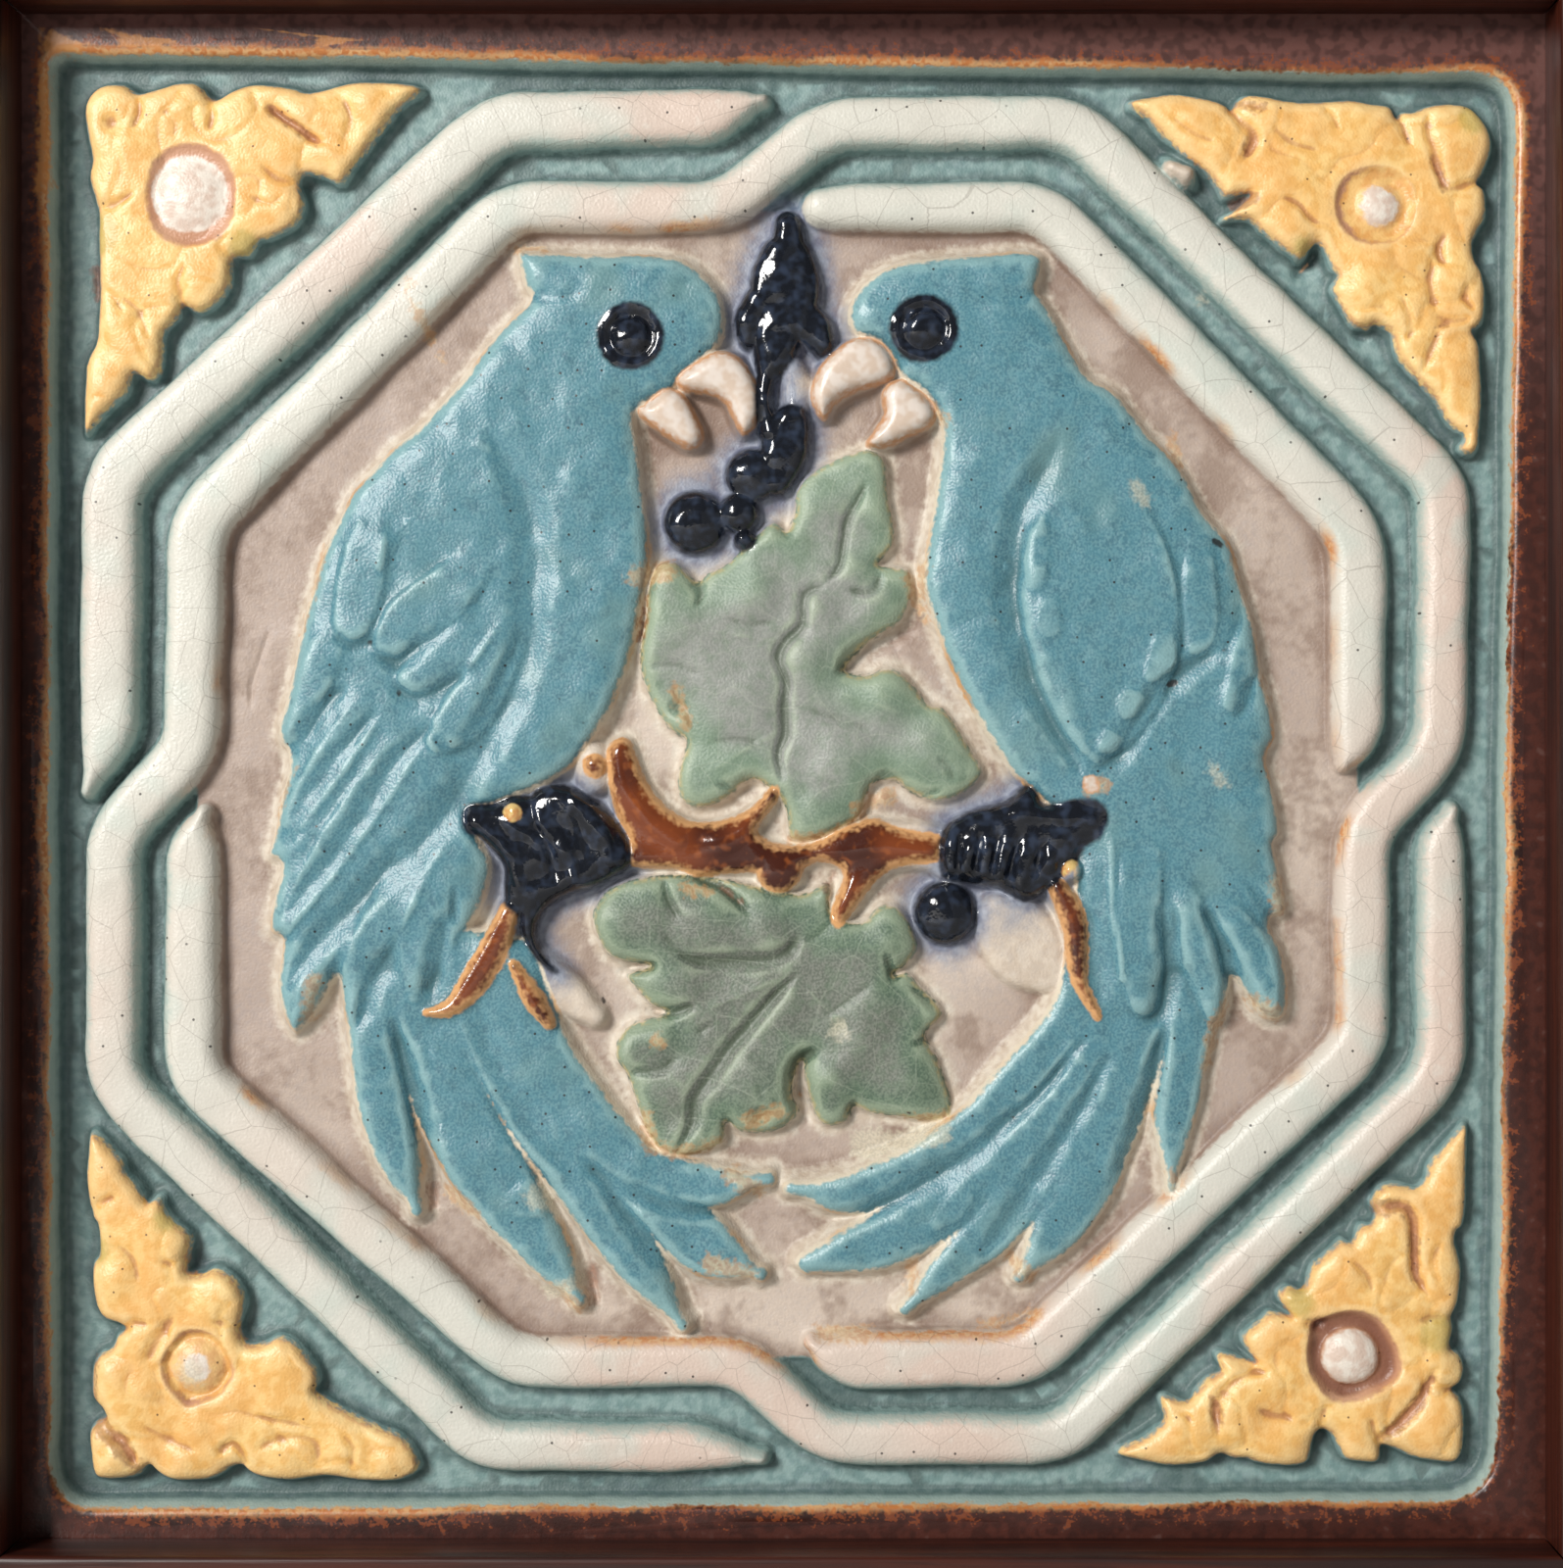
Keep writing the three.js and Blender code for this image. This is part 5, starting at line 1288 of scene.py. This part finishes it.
        # the pit's brown, with painted shade where it lies deepest
        pit = self.over(self.between(self.slow, (206, 160, 128), (190, 138, 106)),
                        (self.ramp(self.broad, -0.7, -2.4), 0.85, (112, 66, 50)))
        boss = self.between(self.patchy, (230, 220, 207), (212, 190, 174))
        gold = self.between(self.patchy, (222, 164, 88), (236, 192, 118))
        return self.over(
            self.between(self.patchy, (231, 180, 102), (242, 201, 130)),
            (self.slow, 0.4, (228, 164, 92)),
            # a painted highlight on the ridges, where the glaze also runs thin, and painted shade in sunk places
            # and creases
            (self.ridge_glaze_and_highlight, 0.35, (248, 222, 168)),
            (self.sunk_shade, 0.6, (190, 128, 72)),
            (self.crease_shade, 0.65, (160, 100, 66)),
            (self.times(at_edge, self.torn), 0.9, (214, 156, 110)),
            (self.times(self.inside("green", 0.0, 6.0), on_foliage), 0.6, (176, 160, 84)),
            (self.inside("pit", 1.0, 3.0, 0.6), 1, pit),
            (self.inside("boss", -1.0, 2.0, 0.5), 1, boss),
            (self.inside("gold", 0.0, 2.5), 0.85, gold),
            (self.pinholes(6.1, 0.56, 0.045), 0.8, (84, 56, 36)),
            *self.patches,
        )

    def leaf(self):
        """Green breaking to grey inland, paler on the upper leaf, with a pale crackle, painted shade in its hollows
        and a painted highlight on its ridges.
        """
        inland = self.ramp(self.add(self.field("leaf"), self.times(self.wander, 14.0)), -12.0, -52.0)
        green = self.between(self.grain, (82, 103, 86), (108, 127, 107))
        grey = self.between(self.grain, (100, 107, 96), (124, 128, 118))
        at_edge = self.ramp(self.field("leaf"), -7.0, -1.0)
        return self.over(
            self.mix(inland, green, grey),
            (self.ramp(self.up, -190.0, -165.0), 0.4, self.between(inland, (150, 172, 150), (176, 178, 174))),
            (self.ramp(self.mottle, 0.4, 0.75), 0.4, (102, 124, 100)),
            # painted shade in sunk places and creases, and a painted highlight on the ridges, where the glaze also
            # runs thin
            (self.sunk_shade, 0.6, (80, 92, 76)),
            (self.ridge_glaze_and_highlight, 0.5, (168, 182, 156)),
            (self.crease_shade, 0.6, (74, 86, 68)),
            (self.times(at_edge, self.torn), 0.9, (186, 172, 122)),
            (self.crackle(8.5, 0.022), 0.18, (176, 184, 166)),
            *self.patches,
        )

    def bird(self):
        """Speckled blue, with painted shade in its grooves and hollows and a painted highlight on its ridges, and a
        broken line of tan and cream along its edge.
        """
        line = self.between(self.ramp(self.wander, -1.1, 0.1), (204, 156, 104), (214, 203, 182))
        blue = self.over(
            self.between(self.grain, (76, 121, 135), (101, 145, 154)),
            (self.patchy, 0.35, (80, 136, 151)),
            (self.ramp(self.add(self.wander, self.drift), 0.0, 1.4), 0.5, (110, 144, 142)),
            # a painted highlight on the ridges, where the glaze also runs thin, and painted shade in creases and
            # sunk places
            (self.ridge_glaze_and_highlight, 0.55, (152, 188, 188)),
            (self.crease_shade, 0.45, (60, 100, 108)),
            (self.sunk_shade, 0.55, (60, 90, 92)),
            (self.ramp(self.mottle, 0.38, 0.24), 0.4, (62, 102, 118)),
            (self.pinholes(5.2, 0.58, 0.06), 0.9, (34, 32, 32)),
        )
        return self.over(line, (self.inside("bird", -3.5, 2.0, 0.9), 1, blue), *self.patches)

    def beak(self):
        """Cream, with clay showing at its edge."""
        cream = self.between(self.patchy, (220, 208, 197), (206, 186, 168))
        return self.mix(self.ramp(self.border("beak", 1.2), -6.0, 1.0), cream, colour(198, 146, 104))

    def branch(self):
        """Brown on the branch and the claws, tan at its edge."""
        return self.over(
            self.between(self.slow, (68, 31, 20), (122, 61, 32)),
            (self.ramp(self.mottle, 0.52, 0.78), 0.6, (160, 88, 42)),
            (self.ramp(self.border("wood", 1.6), -10.0, -1.0), 1, (212, 160, 108)),
        )

    def black(self):
        """Blue-black on the feet, the grapes and the eyes, with tan beads."""
        bead = self.between(self.torn, (214, 184, 120), (200, 144, 88))
        return self.over(
            self.between(self.ramp(self.mottle, 0.4, 0.8), (22, 25, 32), (47, 56, 73)),
            (self.inside("bead", 0.0, 1.5, 0.3), 1, bead),
        )

    def rim(self):
        """Dark brown with a painted sheen towards the top, broken to orange at its inner edge."""
        reach = self.add(self.border("rim", 1.4), self.times(self.drift, 5.0))
        broken = self.add(self.add(self.times(reach, -0.018), self.mottle), self.times(self.speckle, 0.6))
        return self.over(
            self.between(self.slow, (44, 22, 19), (76, 39, 32)),
            (self.slower, 0.45, (80, 37, 24)),
            # painted sheen: the rim is lighter towards the top
            (self.ramp(self.up, -120.0, -30.0), 0.6, (112, 76, 70)),
            (self.ramp(self.mottle, 0.56, 0.36), 0.5, (38, 19, 16)),
            (self.ramp(self.mottle, 0.62, 0.8), 0.3, (112, 86, 80)),
            (self.ramp(broken, 0.56, 0.7), 0.75, (130, 66, 34)),
            (self.ramp(reach, 11.0, 2.0), 0.9, self.between(self.torn, (188, 118, 62), (216, 170, 118))),
            (self.inside("ochre", 2.0, 4.0, 1.6), 0.7, (206, 140, 76)),
        )

    def joined(self):
        """The ground, each glaze over it with its mask, roughness and normal, and plain clay behind."""
        shown = self.surface(self.ground(), 0.52, self.matt)
        for mask, tone, roughness, normal in (
            (self.inside("strap", 0.0, 1.5, 0.4), self.strap(), 0.42, self.matt),
            (self.inside("foliage", -0.5, 1.5, 0.7), self.foliage(), 0.42, self.matt),
            (self.inside("leaf", -1.0, 2.0, 0.8), self.leaf(), 0.48, self.matt),
            (self.inside("bird", 0.5, 1.5, 0.6), self.bird(), 0.38, self.matt),
            (self.inside("beak", 1.0, 1.5, 0.5), self.beak(), 0.32, self.sleek),
            (self.inside("wood", 0.5, 1.5, 0.5), self.branch(), 0.16, self.sleek),
            (self.inside("black", 1.0, 3.0, 0.4), self.black(), 0.11, self.sleek),
            (self.ramp(self.border("rim", 0.7), 0.0, 2.5), self.rim(), 0.34, self.sleek),
        ):
            shown = self.join(mask, shown, self.surface(tone, roughness, normal))
        clay = self.surface(self.between(self.patchy, (186, 142, 108), (204, 164, 130)), 0.85, self.matt)
        return self.finished(self.join(self.field("front"), clay, shown))


tile.data.materials.clear()
tile.data.materials.append(TileGlazes().joined())
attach(tile, "root")
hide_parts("tile")


# ---------------------------------------------------------------- frame
def wood_material():
    """Dark stained wood, its streaks and pores drawn out along each member."""
    g = Graph("frame_wood")
    place = g.node("ShaderNodeAttribute", attribute_name="grain").outputs["Vector"]
    streak = g.made("ShaderNodeTexNoise", {"Vector": g.scaled(place, (12.0, 260.0, 260.0)), "Scale": 1.0,
                                           "Detail": 5.0, "Roughness": 0.6, "Distortion": 0.4})
    pore = g.made("ShaderNodeTexNoise", {"Vector": g.scaled(place, (60.0, 1800.0, 1800.0)), "Scale": 1.0})
    base = g.mix(g.ramp(streak, 0.3, 0.7), colour(34, 13, 9), colour(72, 30, 18))
    base = g.mix(g.times(g.ramp(pore, 0.55, 0.75), 0.6), base, colour(36, 14, 9))
    rough = g.ramp(streak, 0.3, 0.7, 0.42, 0.3)
    return g.finished(g.surface(base, rough, g.bump(g.add(streak, g.times(pore, 0.6)), 0.12)))


def member_section():
    """A member's section as points from the outer edge and from the wall, with eased arrises in front."""
    groove_in = MEMBER_WIDTH - LIP_OVERLAP - FIT_GAP
    groove_out = GROOVE_FLOOR + TILE_THICKNESS + 2 * FIT_GAP
    section = [(0.0, 0.0), (MEMBER_WIDTH, 0.0), (MEMBER_WIDTH, GROOVE_FLOOR), (groove_in, GROOVE_FLOOR),
               (groove_in, groove_out), (MEMBER_WIDTH, groove_out)]
    for corner_x, start in ((MEMBER_WIDTH - ARRIS, 0.0), (ARRIS, 0.5 * math.pi)):
        for i in range(ARRIS_STEPS + 1):
            turn = start + 0.5 * math.pi * i / ARRIS_STEPS
            section.append((corner_x + ARRIS * math.cos(turn), FRAME_DEPTH - ARRIS + ARRIS * math.sin(turn)))
    return section


def frame_member(name, quarter_turns, material):
    """A mitred member, cut across so that its wood is drawn evenly."""
    section = member_section()
    mitre_gap = FIT_GAP * math.sqrt(0.5)
    points, grains = [], []
    for k in range(MEMBER_CUTS + 1):
        for from_edge, from_wall in section:
            reach = FRAME_SIDE / 2 - from_edge - mitre_gap
            along = -reach + 2 * reach * k / MEMBER_CUTS
            points.append((along, -from_wall, FRAME_SIDE / 2 - from_edge))
            grains.append((along / 1000 + 0.7 * quarter_turns, from_edge / 1000, from_wall / 1000))
    points = np.array(points)
    turn = quarter_turns * math.pi / 2
    x, z = points[:, 0].copy(), points[:, 2].copy()
    points[:, 0] = x * math.cos(turn) - z * math.sin(turn)
    points[:, 2] = x * math.sin(turn) + z * math.cos(turn) + CENTRE_Z
    n = len(section)
    faces = [(k * n + i, k * n + (i + 1) % n, (k + 1) * n + (i + 1) % n, (k + 1) * n + i)
             for k in range(MEMBER_CUTS) for i in range(n)]
    faces.append(tuple(range(n))[::-1])
    faces.append(tuple(MEMBER_CUTS * n + i for i in range(n)))
    mesh = bpy.data.meshes.new(name)
    mesh.from_pydata((points / 1000).tolist(), [], faces)
    grain = mesh.attributes.new("grain", "FLOAT_VECTOR", "POINT")
    grain.data.foreach_set("vector", np.array(grains, np.float32).ravel())
    smooth(mesh, 40)
    mesh.materials.append(material)
    piece = link(mesh, name + "_wood")
    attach(piece, "root")
    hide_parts(name)


wood = wood_material()
for turns, name in enumerate(("frame_top_rail", "frame_left_stile", "frame_bottom_rail", "frame_right_stile")):
    frame_member(name, turns, wood)
for name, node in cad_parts.items():
    material = tile.data.materials[0] if name == "tile" else wood
    for slot in node.material_slots:
        slot.material = material


# ---------------------------------------------------------------- stage, light and camera, in metres
def plain(name, tone):
    """A matt material of one tone."""
    made = bpy.data.materials.new(name)
    made.use_nodes = True
    shader = made.node_tree.nodes["Principled BSDF"]
    shader.inputs["Base Color"].default_value = tone
    shader.inputs["Roughness"].default_value = 0.9
    return made


def sheet(name, corners, material):
    """A flat sheet of the stage."""
    mesh = bpy.data.meshes.new(name)
    mesh.from_pydata(corners, [], [(0, 1, 2, 3)])
    mesh.materials.append(material)
    link(mesh, name)


def area_light(name, place, size, power, tone):
    """A square lamp that faces the tile."""
    data = bpy.data.lights.new(name, "AREA")
    data.size = size
    data.energy = power
    data.color = tone
    made = link(data, name)
    made.location = place
    made.rotation_euler = (Vector(TILE_MIDDLE) - Vector(place)).to_track_quat("-Z", "Y").to_euler()


STAGE_REACH, BACKDROP_Y = 4, 3
FLOOR_Z = (CENTRE_Z - FRAME_SIDE / 2) / 1000 - 0.0005
pale = plain("pale_floor", (0.78, 0.77, 0.75, 1))
sheet("floor", [(x * STAGE_REACH, y * STAGE_REACH, FLOOR_Z) for x, y in ((-1, -1), (1, -1), (1, 1), (-1, 1))], pale)
sheet("backdrop", [(x * STAGE_REACH, BACKDROP_Y, z) for x, z in
                   ((-1, FLOOR_Z), (1, FLOOR_Z), (1, STAGE_REACH), (-1, STAGE_REACH))], pale)

TILE_MIDDLE = (0, -0.02, CENTRE_Z / 1000)
area_light("window", (-1.50, -2.15, CENTRE_Z / 1000 + 0.95), size=0.75, power=88.0, tone=(1.0, 0.98, 0.95))
area_light("fill", (0.9, -1.4, -0.1), size=1.2, power=0.8, tone=(0.95, 0.97, 1.0))
scene = bpy.context.scene
scene.world = bpy.data.worlds.new("studio")
scene.world.use_nodes = True
sky = scene.world.node_tree.nodes["Background"]
sky.inputs["Color"].default_value = (0.86, 0.9, 0.95, 1)
sky.inputs["Strength"].default_value = 0.11
scene.cycles.max_bounces = 3
scene.cycles.diffuse_bounces = 1
scene.cycles.glossy_bounces = 1
scene.view_settings.view_transform = "Standard"

# The camera faces the wall. It stands to the right of the picture's middle, and its lens is shifted back
CAMERA_DISTANCE, CAMERA_ASIDE = 0.530, 0.023
PICTURE = (1595, 1600)  # drawing units that it frames
SENSOR = 36
picture_side = PICTURE[1] * UNIT / 1000
camera_data = bpy.data.cameras.new("camera")
camera = link(camera_data, "camera")
camera.location = (CAMERA_ASIDE, (TILE_BACK_Y - TILE_THICKNESS) / 1000 - CAMERA_DISTANCE,
                   (CENTRE_Z - (PICTURE[1] / 2 - CENTRE[1]) * UNIT) / 1000)
camera.rotation_euler = (math.pi / 2, 0, 0)
camera_data.sensor_width = SENSOR
camera_data.lens = SENSOR * CAMERA_DISTANCE / picture_side
camera_data.shift_x = -(CAMERA_ASIDE + (CENTRE[0] - PICTURE[0] / 2) * UNIT / 1000) / picture_side
camera_data.clip_start = 0.01
scene.camera = camera
